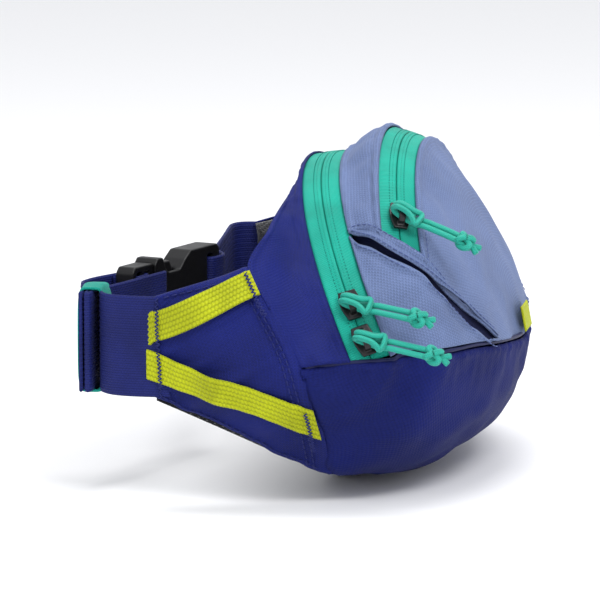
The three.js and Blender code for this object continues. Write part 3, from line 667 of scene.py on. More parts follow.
def braid_look(name, rgb):
    """Braided cord: two sets of strands that wind opposite ways, with painted shade between the strands."""
    look = Look(name, Roughness=0.5, Sheen_Weight=0.08, Specular_IOR_Level=0.4)
    along, around = look.weave()
    one = look.wave(look.add(along, around), 0.8)
    two = look.wave(look.math("SUBTRACT", along, around), 0.8)
    height = look.add(look.math("MAXIMUM", one, two), look.mul(look.noise(0.4), 0.5))
    look.bump(height, 0.12, 0.7)
    # painted shade: the cord is darker where its strands are low
    look.colour(look.mix(look.ramp(height, -0.2, 1.0), shaded(rgb, 0.84), shaded(rgb, 1.06)))
    look.roughness(look.noise(2), 0.2, 0.42)
    return look.material


def mesh_look(name, rgb, pitch):
    """Spacer mesh: rows of small holes between raised threads, with painted shade in the holes."""
    look = Look(name, Roughness=0.75, Sheen_Weight=0.35, Specular_IOR_Level=0.25)
    x, y = look.weave()
    half = look.mul(look.math("FLOOR", look.math("DIVIDE", y, pitch * 0.5)), math.pi)
    cells = look.mul(look.math("SINE", look.add(look.mul(x, 2 * math.pi / pitch), half)),
                     look.math("ABSOLUTE", look.wave(y, pitch)))
    hole = look.ramp(cells, 0.15, 0.6)
    height = look.math("SUBTRACT", look.mul(look.noise(0.8), 0.3), hole)
    look.bump(height, 0.45, 0.9)
    threads = look.dye(12, rgb, 0.85, 1.2)
    # painted shade: the holes are coloured with a much darker copy of the threads' colour
    look.colour(look.mix(hole, threads, shaded(rgb, 0.3)))
    look.roughness(look.noise(3), 0.15, 0.68)
    return look.material


def hard_look(name, rgb, grain, depth, rough, shine, metal=0.0, coat=0.0):
    """Moulded plastic or plated metal: fine grain, faint scuffs and paler rubbed patches."""
    look = Look(name, Roughness=rough, Metallic=metal, Coat_Weight=coat, Coat_Roughness=0.25,
                Specular_IOR_Level=shine)
    fine = look.noise(grain, 4)
    scuffs = look.noise(7, 5, (1, 1, 4))
    look.bump(look.add(fine, look.mul(scuffs, 0.4)), depth, 0.5)
    rubbed = look.mul(look.ramp(scuffs, 0.55, 0.8), 0.5)
    look.colour(look.mix(rubbed, shaded(rgb, 1.0), shaded(rgb, 1.35)))
    look.roughness(scuffs, 0.22, rough - 0.1)
    return look.material


def foam_look(name, rgb):
    """Open-cell foam: fine pits, with painted shade in them."""
    look = Look(name, Roughness=0.9, Specular_IOR_Level=0.2)
    cells = look.noise(0.9, 4)
    look.bump(cells, 0.4, 0.8)
    # painted shade: the foam is darker where its cells are low
    look.colour(look.mix(look.ramp(cells, 0.4, 0.6), shaded(rgb, 0.8), shaded(rgb, 1.1)))
    look.roughness(cells, 0.1, 0.84)
    return look.material


def thread_look(name, rgb):
    """Sewing thread: a fine twist along it, with painted shade in its low parts."""
    look = Look(name, Roughness=0.5, Sheen_Weight=0.02, Specular_IOR_Level=0.2)
    twist = look.noise(0.35, 2, (1, 1, 3))
    look.bump(twist, 0.08, 0.6)
    # painted shade: the thread is darker where its twist is low
    look.colour(look.mix(twist, shaded(rgb, 0.8), shaded(rgb, 1.15)))
    look.roughness(twist, 0.2, 0.42)
    return look.material


TEAL_RGB = (14, 158, 138)

PERIWINKLE = woven("periwinkle_nylon", (91, 106, 143), 0.62, 0.16, sheen=0.04, ripstop=1.25, contrast=0.05)
NAVY = woven("navy_nylon", (17, 26, 90), 0.62, 0.2, sheen=0.01, ripstop=1.4, shine=0.14, contrast=0.12)
NAVY_BASKET = woven("navy_basket_weave", (18, 27, 92), 1.0, 0.24, sheen=0.01, shine=0.1, contrast=0.08,
                    basket=True, gap_shade=0.45)
LINING = woven("dark_lining", (16, 22, 62), 0.6, 0.10, sheen=0.04)
TAPE = tape_look("teal_zip_tape", TEAL_RGB)
CORD = braid_look("teal_braid", TEAL_RGB)
LIME = webbing_look("lime_webbing", (172, 180, 22), 3.6, 0.45, cross=1.5, sheen=0.05)
WEBBING = webbing_look("navy_webbing", (24, 32, 94), 1.9, 0.22, sheen=0.02)
ELASTIC = webbing_look("teal_elastic", (16, 150, 134), 1.2, 0.18, cross=0.9, sheen=0.1)
MESH = mesh_look("black_spacer_mesh", (26, 27, 34), 2.2)
FOAM = foam_look("pale_foam", (196, 198, 202))
PLASTIC = hard_look("black_plastic", (9, 9, 12), 0.5, 0.05, 0.42, shine=0.3)
GUNMETAL = hard_look("gunmetal_plate", (17, 15, 18), 0.3, 0.015, 0.32, metal=0.3, coat=0.15, shine=0.4)
THREAD_NAVY = thread_look("navy_thread", (24, 32, 92))
THREAD_DARK = thread_look("dark_navy_thread", (20, 25, 66))
THREAD_TEAL = thread_look("teal_thread", (8, 116, 104))
THREAD_PERIWINKLE = thread_look("periwinkle_thread", (76, 90, 136))


# ---- Cords: the zip pulls ----
def transported(path):
    """Two unit vectors across a path at each of its points, with no sudden twist."""
    run = unit(np.gradient(path, axis=0))
    sides = [unit(np.cross(run[0], (0.3, 0.2, 0.9)))]
    for k in range(1, len(path)):
        sides.append(unit(sides[-1] - run[k] * np.dot(sides[-1], run[k])))
    sides = np.array(sides)
    return sides, np.cross(run, sides)


def tube(name, path, radius, look, body, replaces=(), around=12, closed=False):
    """A round cord along a path, with a map that measures it along and around."""
    path = np.asarray(path)
    sides, ups = transported(path)
    angles = np.arange(around) * 2 * math.pi / around
    radius = np.broadcast_to(radius, len(path))
    ring = np.cos(angles)[None, :, None] * sides[:, None] + np.sin(angles)[None, :, None] * ups[:, None]
    points = path[:, None] + ring * radius[:, None, None]
    faces = ring_faces(len(path), around, closed)
    obj = mesh_object(name, points.reshape(-1, 3), faces, look, body, replaces)
    uv = [np.repeat(run_length(path), around), np.tile(angles * CORD_RADIUS, len(path))]
    set_weave(obj, np.stack(uv, -1))
    return obj


STRAND_FROM, KNOT_AT = 4.9, 27.0  # millimetres from the bridge
STRAND_APART = 1.35  # from the pull's middle to each strand


def beside(heading):
    return np.array([-heading[1], heading[0], 0])


def pull_point(heading, d, side):
    """A point on a pull's strand in the slider's own axes, d from the bridge."""
    e = d - STRAND_FROM
    rise = np.array([0, 0, 3.15 + 0.32 * e - 0.004 * e * e])
    return heading * d + beside(heading) * side * STRAND_APART + rise


def pull_route(heading):
    """From the knot to the bridge, under it, over its top, across in front, and back the same way."""
    side = beside(heading)
    shift = np.array([-0.3, 0, 0])
    strand = [pull_point(heading, d, 1) for d in (25, 23, 18.5, 14, 10)]
    bight = [heading * d + side * b + shift + np.array([0, 0, z]) for d, b, z in (
        (6.6, 1.2, 3.25), (3.6, 1.15, 2.85), (0.5, 1.12, 2.7), (-2.0, 1.12, 3.1), (-3.5, 1.12, 4.6),
        (-2.2, 1.12, 6.3), (0.2, 1.15, 6.85), (3.0, 1.3, 6.6), (5.2, 2.1, 6.0), (6.7, 2.9, 5.3),
        (7.5, 1.6, 5.6))]
    halfway = [heading * 7.6 + shift + np.array([0, 0, 5.75])]
    other = [p - 2 * side * (p @ side - shift @ side) for p in bight[::-1]]
    other += [p - 2 * side * (p @ side) for p in strand[::-1]]
    return smooth_through(np.array(strand + bight + halfway + other), 0.55)


def smooth_through(points, step):
    """A flowing path through points, in steps of at most about one length."""
    knots = run_length(points)
    tangent = np.gradient(points, knots, axis=0)
    out = []
    for i in range(len(points) - 1):
        h = knots[i + 1] - knots[i]
        for t in np.arange(0, 1, step / max(h, step)):
            a = (2 * t ** 3 - 3 * t ** 2 + 1) * points[i] + (3 * t ** 2 - 2 * t ** 3) * points[i + 1]
            out.append(a + h * ((t ** 3 - 2 * t ** 2 + t) * tangent[i] + (t ** 3 - t ** 2) * tangent[i + 1]))
    out.append(points[-1])
    return np.array(out)


def knot_route(centre, heading):
    """A tight overhand knot about a centre, in the slider's own axes."""
    t = np.linspace(0, 2 * math.pi, 140, endpoint=False)
    r = 2.1 + 0.7 * np.cos(3 * t)
    ring = np.stack([2.4 * np.sin(3 * t), r * np.sin(2 * t), 0.9 * r * np.cos(2 * t)], -1)
    return centre + ring @ np.stack([heading, beside(heading), [0, 0, 1]])


TAIL_RADIUS = CORD_RADIUS * np.array([0.95, 1, 1, 1, 1, 1.02, 1.08, 1.1, 0.9])  # its cut end is frayed


def tail(start, heading, lean):
    """One of the cord's cut ends."""
    reach = np.linspace(0, 4.2, len(TAIL_RADIUS))[:, None]
    bend = beside(heading) * lean * reach ** 1.3 * 0.3
    return start + heading * reach + bend + np.array([0, 0, -0.14]) * reach ** 1.2


def zip_pull(name, slider, heading):
    zipper, turn = SLIDERS[slider]
    body = "pull_" + slider.replace("main_", "")
    heading = unit(np.array(heading, float))

    def cord_piece(piece, route, radius, replaces=(), closed=False):
        return tube(piece, route, radius, CORD, body, replaces, closed=closed)

    route = zipper.place(turn, pull_route(heading))
    cord = cord_piece(name, route, CORD_RADIUS, [name + "_strand_a", name + "_strand_b"])
    centre = pull_point(heading, KNOT_AT, 0)
    knot_path = zipper.place(turn, knot_route(centre, heading))
    knot = cord_piece(name + "_knot_cord", knot_path, CORD_RADIUS * 1.04, [name + "_knot"], closed=True)
    for side, lean in (("a", 1.0), ("b", -0.8)):
        path = zipper.place(turn, tail(centre + heading * 2.0, heading, lean))
        cord_piece(f"{name}_tail_{side}", path, TAIL_RADIUS)
    leaves = metres(zipper.place(turn, np.array([pull_point(heading, 5.0, 0)])))[0]


zip_pull("main_pull_lower", "main_lower", (-0.62, -0.78, 0))
zip_pull("main_pull_upper", "main_upper", (-0.62, -0.78, 0))
zip_pull("front_pull", "front", (-0.55, -0.84, 0))


# ---- The shell ----
MIDDLE = np.array([0.0, -10.0, 60.0])


def panel(name, look, rows, low, high, cols, folds, edges, replaces, tucked=(), mirror=False, sink=0.0):
    """A dome panel: a row for each v, from u = low(v) to high(v), with its edges folded or tucked."""
    v = rows[:, None]
    share = np.linspace(0, 1, cols)[None, :]
    u_low, u_high = low(rows)[:, None], high(rows)[:, None]
    u = u_low + (u_high - u_low) * share
    points = dome(v, u)
    if mirror:
        points = points * MIRROR
    points = rumple(points, MIDDLE, folds, calm_edges(points), sink)
    points = turn_under(points, edges, tucked)
    if mirror:
        points = points[:, ::-1]
    grid_mesh(name, points, look, MIDDLE, replaces=replaces)


TUCK_LONG, TUCK_DEPTH = 3.0, 1.15  # how far a panel runs under the slit's band


def turn_under(points, edges, tucked):
    """A folded edge: the cloth swells just inside its edge, puckers along it and turns down at the end."""
    from_first, from_low = from_start(points, 0), from_start(points, 1)
    away = {
        "first": from_first, "last": from_first[-1:] - from_first,
        "low": from_low, "high": from_low[:, -1:] - from_low,
    }
    pucker = soft_noise(points, 5.0, 3)
    lift = np.zeros(points.shape[:2])
    for edge in tucked:
        lift = lift - TUCK_DEPTH * np.clip((TUCK_LONG + 1.2 - away[edge]) / 1.6, 0, 1)
    for edge in edges:
        d = away[edge]
        swell = 0.55 * bell(d, 1.6, 1.2) * (1 + 0.5 * pucker)
        channel = -0.35 * bell(d, 4.2, 1.2) * (1 + 0.8 * pucker)
        lift = np.maximum(lift, swell) + channel - 0.7 * np.clip(1 - d / 0.9, 0, 1) ** 2
    return points + normals_of(points, MIDDLE) * lift[..., None]


FINE_REACH = 2.5  # how far in from a panel's ends its rows are close together


def refined(start, end, count):
    """Row positions between two values, with extra rows near both ends."""
    length = end - start
    ends = np.linspace(0, FINE_REACH, 5)[:-1]
    middle = np.linspace(FINE_REACH, length - FINE_REACH, count)
    return start + np.concatenate([ends, middle, length - ends[::-1]])


def dome_line(v, u, lift):
    """Points and outward normals along a line on the dome."""
    p = dome(v, u)
    e = 0.01
    n = unit(np.cross(dome(v, u + e) - dome(v, u - e), dome(v + 0.5, u) - dome(v - 0.5, u)))
    n = np.where(np.sum(n * (p - MIDDLE), -1, keepdims=True) < 0, -n, n)
    return p + n * lift, n


BASE_SHARE = 0.004  # the share of a rib left at each end of the front panel


def tucked_low(v):
    """Where a panel's lower edge lies, tucked under the band over the slit."""
    return welt_top(v) - share_of(v, 0.15, TUCK_LONG)


def front_low(v):
    """The front panel's lower edge: under the band, and down to the base in front of the slit."""
    before = np.minimum(v, SLIT_FRONT)
    return BASE_SHARE + (tucked_low(before) - BASE_SHARE) * np.clip((SLIT_FRONT + 3 - v) / 3, 0, 1)


def level(u):
    """An edge that keeps to one share of every rib."""
    return lambda v: 0 * v + u


def shell():
    panel("rear_panel_cloth", NAVY, refined(0.0, MAIN_REAR - 0.2, 24),
          level(0.001), level(0.999), 220, folds=[(1.8, (34, 26, 40), 1), (1.4, (10, 12, 28), 2)],
          edges=["first", "last"], replaces=["rear_panel"])
    panel("gusset_cloth", PERIWINKLE, refined(MAIN_FRONT + 0.2, FRONT_REAR - 0.2, 26),
          tucked_low, lambda v: 1 - tucked_low(v), 200,
          folds=[(1.3, (14, 40, 40), 4), (1.0, (7, 16, 14), 5), (0.8, (30, 30, 30), 6)],
          edges=["first", "last"], tucked=["low", "high"], replaces=["gusset_panel"])
    behind = refined(FRONT_FRONT + 0.2, SLIT_FRONT, 44)[:-3]
    rows = np.concatenate([behind, np.linspace(SLIT_FRONT + 0.6, 165.5, 40)])
    panel("front_cloth", PERIWINKLE, rows, front_low, lambda v: 1 - front_low(v), 200,
          folds=[(1.0, (40, 40, 34), 7), (0.8, (13, 14, 20), 8), (0.4, (70, 60, 50), 9)], sink=1.4,
          edges=["first"], tucked=["low", "high"], replaces=["front_panel"])
    rows = refined(MAIN_FRONT + 0.2, SLIT_FRONT - 1.5, 60)
    for side in ("left", "right"):
        mirror = side == "right"
        panel(f"hand_pocket_cloth_{side}", PERIWINKLE, rows, level(0.006), slit_low, 36,
              folds=[(1.2, (24, 24, 20), 10), (0.7, (10, 10, 8), 11)], edges=["first", "high"],
              replaces=[f"hand_pocket_panel_{side}"], mirror=mirror)
        panel(f"slit_welt_cloth_{side}", PERIWINKLE, rows, slit_high, welt_top, 14,
              folds=[(0.4, (12, 12, 12), 12)], edges=["low", "high"],
              replaces=[f"slit_welt_{side}"], mirror=mirror)
        slit_lining(side, mirror)


def slit_lining(side, mirror):
    """The dark pocket bag behind a slit."""
    v = np.linspace(MAIN_FRONT - 1.5, SLIT_FRONT - 1, 44)[:, None]
    low, high = slit_low(v[:, 0])[:, None], slit_high(v[:, 0])[:, None]
    share = np.linspace(0, 1, 24)[None, :]
    reach = 3.0 + 3.0 * np.clip((MAIN_FRONT + 8 - v) / 8, 0, 1)
    lowest, highest = np.maximum(low - share_of(v, low, reach), 0.002), high + share_of(v, high, reach)
    u = lowest * (1 - share) + highest * share
    p = dome(v, u)
    depth = 1.3 + np.minimum(4.5, (SLIT_FRONT - v) * 0.1) * np.sin(math.pi * share) ** 0.8
    p = p - normals_of(p, MIDDLE) * depth[..., None]
    p = rumple(p, MIDDLE, [(0.5, (8, 8, 8), 13)])
    if mirror:
        p = (p * MIRROR)[:, ::-1]
    grid_mesh(f"hand_pocket_bag_{side}", p, LINING, MIDDLE, 0.5,
              replaces=[f"hand_pocket_lining_{side}"])


def shell_stitching():
    """Thread along both lips of each slit, the band's top and the band's end beside the front zip."""
    v = np.linspace(MAIN_FRONT + 2.0, SLIT_FRONT - 4, 160)
    band = np.linspace(MAIN_FRONT + 2.0, 88, 90)
    end = 79.0
    lines = [
        (v, slit_low(v) - share_of(v, slit_low(v), 2.0)), (v, slit_high(v) + share_of(v, slit_high(v), 1.1)),
        (band, welt_top(band) - share_of(band, welt_top(band), 1.2)),
        (end, welt_top(np.array([end]))[0] + np.linspace(0.0, 0.05, 30)),
    ]
    rows = []
    for hand in HANDS.values():
        for at, u in lines:
            p, n = dome_line(at, u, 0.45)
            rows.append((p * hand, n * hand, *SHELL_STITCH, {}))
    stitches("slit_topstitch", rows, THREAD_PERIWINKLE)


# ---- The bottom panel ----
UNDER = np.array([0.0, -18.0, 58.0])


def bottom():
    q = np.linspace(0.001, 0.999, 330)[:, None]
    w = np.concatenate([np.linspace(0.0, 0.9, 40), np.linspace(0.915, 0.992, 8)])[None, :]
    p = bowl(q, w)
    fade = np.clip(np.linalg.norm(p - p[:, -1:], axis=-1) / 10, 0, 1)
    p = rumple(p, UNDER, [(1.3, (48, 30, 20), 21), (0.8, (16, 14, 10), 22)], fade, sink=1.0)
    from_seam = np.linalg.norm(p - p[:, -1:], axis=-1)
    from_rear = np.linalg.norm(p - p[:, :1], axis=-1)
    pucker = soft_noise(p, (4.5, 4.5, 14.0), 23)
    lift = 0.5 * bell(from_seam, 2.0, 1.4) * (1 + 0.6 * pucker)
    lift -= 0.8 * np.clip(1 - from_seam / 1.2, 0, 1) ** 2
    lift += 0.5 * bell(from_rear, 2.4, 1.4) - 0.9 * np.clip(1 - from_rear / 1.4, 0, 1) ** 2
    lift += 0.7 * pucker * np.exp(-from_seam / 9.0) * (w > 0.55)
    p = p + normals_of(p, UNDER) * lift[..., None]
    p[..., 2] = np.maximum(p[..., 2], DATUM[2] + 0.05)
    grid_mesh("bottom_cloth", p, NAVY_BASKET, UNDER, replaces=["bottom_panel"])


def piping():
    """The seam's turned edge, between the bottom and the panels above it."""
    q = np.linspace(0.006, 0.994, 420)
    v = np.minimum(q, 1 - q) * 2 * NOSE
    path = dome(v, 0 * v)
    path[:, 0] *= np.where(q > 0.5, -1, 1)
    path = path - unit(path - MIDDLE) * 1.1
    tube("base_seam", path, 0.8, THREAD_DARK, "pack", around=8)


# ---- Zips ----
def zip_pieces(name, zipper, reach, end_rear, end_front):
    """Tapes, stitching and coils. The tapes run on to their own ends, under the panels that cover them."""
    share = np.linspace(-1, 1, 260)[None, :]
    edge = TAPE_HALF + TAPE_HIDDEN
    for side, start, end in (("rear", -edge, -ZIP_SLIT / 2), ("front", ZIP_SLIT / 2, edge)):
        w = np.linspace(start, end, 16)
        crown = 0.45 * bell(np.abs(w), 0.0, 2.6) - 0.5 * np.clip(1 - np.abs(w) / 0.45, 0, 1)
        end_at = (end_rear + (end_front - end_rear) * (w + edge) / (2 * edge))[:, None]
        turn = end_at * share
        hidden = np.sign(w)[:, None] * np.clip(np.abs(w) - TAPE_HALF, 0, TAPE_HIDDEN)[:, None]
        top = 1 - np.clip(np.abs(turn) / TOP_TURN, 0, 1)
        depth = (1.25 - crown)[:, None] + np.abs(hidden) * (TAPE_DROP + top)
        points = zipper.at(w[:, None] - hidden * top, turn, depth)
        grid = grid_mesh(f"{name}_tape_{side}_cloth", points, TAPE, MIDDLE, 0.7,
                         replaces=[f"{name}_tape_{side}"])
        center_uv(grid, w)
        coil(name, zipper, side, reach - 0.02)
    rows = []
    for w in (-2.9, -1.6, 1.6, 2.9):
        here = np.linspace(-reach + 0.01, reach - 0.01, 200)
        p = zipper.at(w, here, 1.06)
        n = unit(zipper.at(w, here, 0.0) - zipper.at(w, here, 1.0))
        rows.append((p, n, *TAPE_STITCH, {"lift": 0.0}))
    stitches(f"{name}_tape_stitch", rows, THREAD_TEAL)


def center_uv(obj, w):
    """Measures the tape's map from the zip's middle."""
    for loop in obj.data.uv_layers["weave"].data:
        loop.uv.y += w[len(w) // 2]


COIL_PITCH, COIL_WIRE = 1.25, 0.26


def coil(name, zipper, side, reach):
    """The coil sewn under one tape: a long spring, flattened."""
    sign = -1 if side == "rear" else 1
    pitch = COIL_PITCH / zipper.radius
    count = int(2 * reach / pitch)
    t = np.linspace(0, count, count * 8)
    phase = t * 2 * math.pi
    w = sign * (1.45 + 0.95 * np.cos(phase))
    path = zipper.at(w, -reach + t * pitch, 2.3 + 0.45 * np.sin(phase))
    tube(f"{name}_coil_{side}_wire", path, COIL_WIRE, THREAD_TEAL, "pack",
         [f"{name}_coil_{side}"], around=5)


def rounded_copy(node, voxel, rounds, look, body, axes):
    """A CAD node's shape with softened edges. It's evened out along its own axes."""
    name = f"{node}_body"
    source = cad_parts[node].data
    points = np.array([v.co for v in source.vertices]) @ axes.T
    mesh = bpy.data.meshes.new(name)
    mesh.from_pydata(points.tolist(), [], [tuple(p.vertices) for p in source.polygons])
    obj = bpy.data.objects.new(name, mesh)
    scene.collection.objects.link(obj)
    remesh = obj.modifiers.new("even", "REMESH")
    remesh.mode = "VOXEL"
    remesh.voxel_size = voxel * 0.001
    smooth = obj.modifiers.new("soften", "SMOOTH")
    smooth.factor = 0.5
    smooth.iterations = rounds
    graph = bpy.context.evaluated_depsgraph_get()
    done = bpy.data.meshes.new_from_object(obj.evaluated_get(graph))
    obj.modifiers.clear()
    co = np.empty(len(done.vertices) * 3)
    done.vertices.foreach_get("co", co)
    done.vertices.foreach_set("co", (co.reshape(-1, 3) @ axes).ravel())
    done.shade_smooth()
    scene.collection.objects.unlink(obj)
    done.name = name
    obj.data = done
    link(obj, look, body, [node])


def sliders():
    for which, node in (("main_lower", "main_slider_lower"), ("main_upper", "main_slider_upper"),
                        ("front", "front_slider")):
        zipper, turn = SLIDERS[which]
        body = "slider_" + which.replace("main_", "")
        here = zipper.place(turn, np.array([(0, 0, 0), (1, 0, 0), (0, 1, 0), (0, 0, 1)]))
        axes = here[1:] - here[0]
        rounded_copy(node, 0.22, 4, GUNMETAL, body, axes)


# ---- Wings ----
def sideways(p):
    """The way out from the bag's middle plane, at each point."""
    return p * np.array([1.0, 0, 0])


def wing_grid(t, u):
    """The wing's plain outer face and its normals."""
    p = wing(np.asarray(t)[:, None], u)
    return p, normals_of(p, sideways(p))


def slanted(p):
    """Points sheared so that noise on them runs diagonally across the wing."""
    return np.stack([p[..., 0], p[..., 1], p[..., 2] + 0.55 * p[..., 1]], -1)


def wing_lift(p, t, u):
    """How far the wing's cloth stands off its plain face: soft folds, and a swell beside each seam."""
    fold = 1.6 * soft_noise(p, (60.0, 24, 16), 31) + 1.0 * soft_noise(slanted(p), (30.0, 26, 6.5), 32)
    from_root, from_edge = t * 62.0, np.minimum(u, 1 - u) * 75.0
    fade = np.clip(from_root / 8, 0, 1) * np.clip((1 - t) / 0.1, 0.1, 1)
    lift = np.maximum(fold, -1.0) * fade
    lift += 0.5 * bell(from_edge, 2.2, 1.4) - 0.9 * np.clip(1 - from_edge / 1.3, 0, 1) ** 2
    return lift + 0.45 * bell(from_root, 3.0, 1.5) - 0.9 * np.clip(-from_root / 1.2, 0, 1)


def wing_line(t, u):
    """Points on the wing's folded cloth, and the normals of its plain face."""
    p = wing(t, u)
    e = 0.01
    n = unit(np.cross(wing(t + e, u) - wing(t - e, u), wing(t, u + e) - wing(t, u - e)))
    n = np.where(n[..., :1] > 0, -n, n)
    return p + n * wing_lift(p, t, u)[..., None], n


def wings():
    t = np.concatenate([[-0.02, -0.01], np.linspace(0.0, 0.06, 6)[:-1], np.linspace(0.06, 1.0, 90)])
    edge = np.linspace(0, 0.05, 6)
    u = np.concatenate([edge[:-1], np.linspace(0.05, 0.95, 84), np.linspace(0.95, 1, 6)[1:]])
    face, n = wing_grid(t, u)
    folded = face + n * wing_lift(face, t[:, None], u)[..., None]
    for side, hand in HANDS.items():
        p = folded * hand
        grid_mesh(f"wing_cloth_{side}", p, NAVY, sideways(p), 0.8,
                  replaces=[f"wing_outer_{side}"])
        wing_padding(side, hand)
        wing_straps(side, hand)
        wing_stitching(side, hand)


def edge_share(face):
    """0 in the middle of a grid, rising to 1 along its edges."""
    a, b = (np.abs(np.linspace(0, 1, count) * 2 - 1) for count in face.shape[:2])
    return np.maximum(a[:, None], b)


def crowned(face, normals, near, far):
    """A pad between two depths under a face, thickest in its middle and pinched at its edges."""
    thick = (far - near) * (1 - 0.75 * edge_share(face) ** 6)
    return face - normals * near, face - normals * (near + thick)[..., None]


def closed_pad(name, outer, inner, look, replaces):
    """A closed form from two matching grids."""
    rows, cols = outer.shape[:2]
    size = rows * cols
    faces = []
    for i in range(rows - 1):
        for j in range(cols - 1):
            k = i * cols + j
            faces.append((k, k + 1, k + cols + 1, k + cols))
            faces.append(tuple(size + m for m in (k, k + cols, k + cols + 1, k + 1)))
    sides = [(i * cols + j, (i + 1) * cols + j, j > 0) for i in range(rows - 1) for j in (0, cols - 1)]
    sides += [(i * cols + j, i * cols + j + 1, i == 0) for j in range(cols - 1) for i in (0, rows - 1)]
    for a, b, turned in sides:
        ring = (a, b, b + size, a + size)
        faces.append(ring[::-1] if turned else ring)
    points = np.concatenate([outer.reshape(-1, 3), inner.reshape(-1, 3)])
    obj = mesh_object(name, points, faces, look, replaces=replaces)
    uv = np.stack([lengths(outer, 1), lengths(outer, 0)], -1).reshape(-1, 2)
    set_weave(obj, np.concatenate([uv, uv]))
    make_outward(obj)


def wing_padding(side, hand):
    face, n = wing_grid(np.linspace(0.25, 0.95, 54), np.linspace(0.08, 0.93, 50))
    outer, inner = crowned(face, n, 3.4, 7.0)
    closed_pad(f"wing_foam_pad_{side}", outer * hand, inner * hand, FOAM, [f"wing_foam_{side}"])
    face, n = wing_grid(np.linspace(0.22, 0.985, 54), np.linspace(-0.03, 0.985, 50))
    edge = edge_share(face) ** 8
    ripple = 0.25 * soft_noise(face, 14.0, 41)
    channel = 1.1 * bell(np.linspace(0, 1, 50), 0.5, 0.022) * (1 - edge)
    near = 7.3 - 5.6 * edge
    outer = face - n * near[..., None]
    inner = face - n * (near + (9.3 - 7.3) * (1 - 0.4 * edge) + ripple - channel)[..., None]
    closed_pad(f"wing_mesh_pad_{side}", outer * hand, inner * hand, MESH, [f"wing_mesh_{side}"])


def wing_straps(side, hand):
    """The two narrow straps over the wing, which bow over its folds and run on to the belt."""
    for which, u_tip, u_root, raised in (("upper", 0.7, 0.92, 0.04), ("lower", 0.31, 0.30, 0.02)):
        s = np.linspace(1.045, 0.0, 120)
        on_wing = np.minimum(s, 1.0)
        u = u_root + (u_tip - u_root) * s + raised * np.sin(math.pi * on_wing)
        p, n = wing_line(on_wing, u)
        p = p + unit(p[0] - p[12]) * np.maximum(s - 1.0, 0)[:, None] * 62
        across = unit(np.cross(n, unit(np.gradient(p, axis=0))))
        rise = unit(wing(on_wing, u + 0.01) - wing(on_wing, u - 0.01))
        across = rise / np.clip(np.abs(np.sum(across * rise, -1, keepdims=True)), 0.6, 1)
        lifts = [wing_lift(wing(s, v), s, v) for v in (u, u - 0.07, u + 0.07)]
        bow = np.pad(np.maximum.reduce(lifts) - lifts[0], 6, mode="edge")
        p = p + n * (0.75 + np.convolve(bow, np.ones(13) / 13, mode="valid"))[:, None]
        section = bar_section(STRAP_WIDE, STRAP_THICK, 15, 6, 0.08)
        swept(f"wing_strap_{which}_{side}", p * hand, across * hand, n * hand, section, LIME,
              swell=1 + 0.03 * (np.arange(120) % 2))


def wing_stitching(side, hand):
    rows, tacks = [], []
    u, t = np.linspace(0.03, 0.97, 160), np.linspace(0.05, 0.97, 120)
    for t_at, u_at in ((0.075, u), (0.115, u), (t, 0.045), (t, 0.955)):
        p, n = wing_line(t_at, u_at)
        rows.append(((p + n * 0.25) * hand, n * hand, *WING_STITCH, {}))
    stitches(f"wing_topstitch_{side}", rows, THREAD_NAVY)
    over_straps = (2.0, 0.75, 1.5)
    for t_at, u_from, u_to, count, (lift, pitch, zigzag) in (
            (0.955, 0.14, 0.48, 40, over_straps), (0.955, 0.53, 0.87, 40, over_straps),
            (0.05, 0.16, 0.36, 40, over_straps), (0.05, 0.77, 0.96, 40, over_straps),
            (0.965, 0.02, 0.98, 60, (0.5, 1.1, 1.4))):
        p, n = wing_line(t_at, np.linspace(u_from, u_to, count))
        tacks.append(((p + n * lift) * hand, n * hand, pitch, 1.9, 0.26, {"zigzag": zigzag, "lift": 0.1}))
    stitches(f"wing_bartack_{side}", tacks, THREAD_NAVY)


# ---- The back ----
WALL_HALF = 99.0
WALL_LOW = ([0, 26, 52, 84, 95, WALL_HALF], [3.8, 3.8, 9.4, 18, 28, 34])
PAD_HALF = 88.0
PAD_LOW = ([0, 24, 60, 80, PAD_HALF], [4.7, 4.7, 13, 24, 38])
BACKWARDS = np.array([0.0, 1, 0])
BINDING_RADIUS = 1.5


def wall_top(x):
    return monotone([0, 46, 85, WALL_HALF], [113, 108.5, 99, 83], np.abs(x))


def wall_point(x, z):
    """Points on the rear wall, which leans back towards its top."""
    ax = np.abs(x)
    low = monotone(*WALL_LOW, ax)
    low_y = monotone([0, 52, 84, WALL_HALF], [3.9, 2.6, 0.4, 2], ax)
    high_y = monotone([0, 46, 85, WALL_HALF], [20.4, 20.2, 19, 20], ax)
    return np.stack([x, low_y + (high_y - low_y) * (z - low) / (wall_top(x) - low), z], -1)


def back_grid(half, low_curve, top_drop, rows, cols):
    """A grid on the rear wall, from a lower curve to a little under the wall's top."""
    x = np.linspace(-half, half, rows)[:, None]
    low = monotone(*low_curve, np.abs(x))
    z = low + (wall_top(x) - top_drop - low) * np.linspace(0, 1, cols)
    return wall_point(x + 0 * z, z)


def back():
    wall = back_grid(WALL_HALF, WALL_LOW, 0, 90, 50)
    facing = np.broadcast_to(BACKWARDS, wall.shape)
    grid_mesh("rear_wall_cloth", wall, LINING, facing, 0.8, replaces=["rear_wall"])
    outer, inner = crowned(back_grid(PAD_HALF - 1.5, PAD_LOW, 2, 70, 44), -BACKWARDS, 0.6, 6.0)
    closed_pad("back_foam_core", inner, outer, FOAM, ["back_pad"])
    cover = back_grid(PAD_HALF, PAD_LOW, 1, 170, 100)
    back_cover(cover)
    back_binding(cover)
    back_closures()


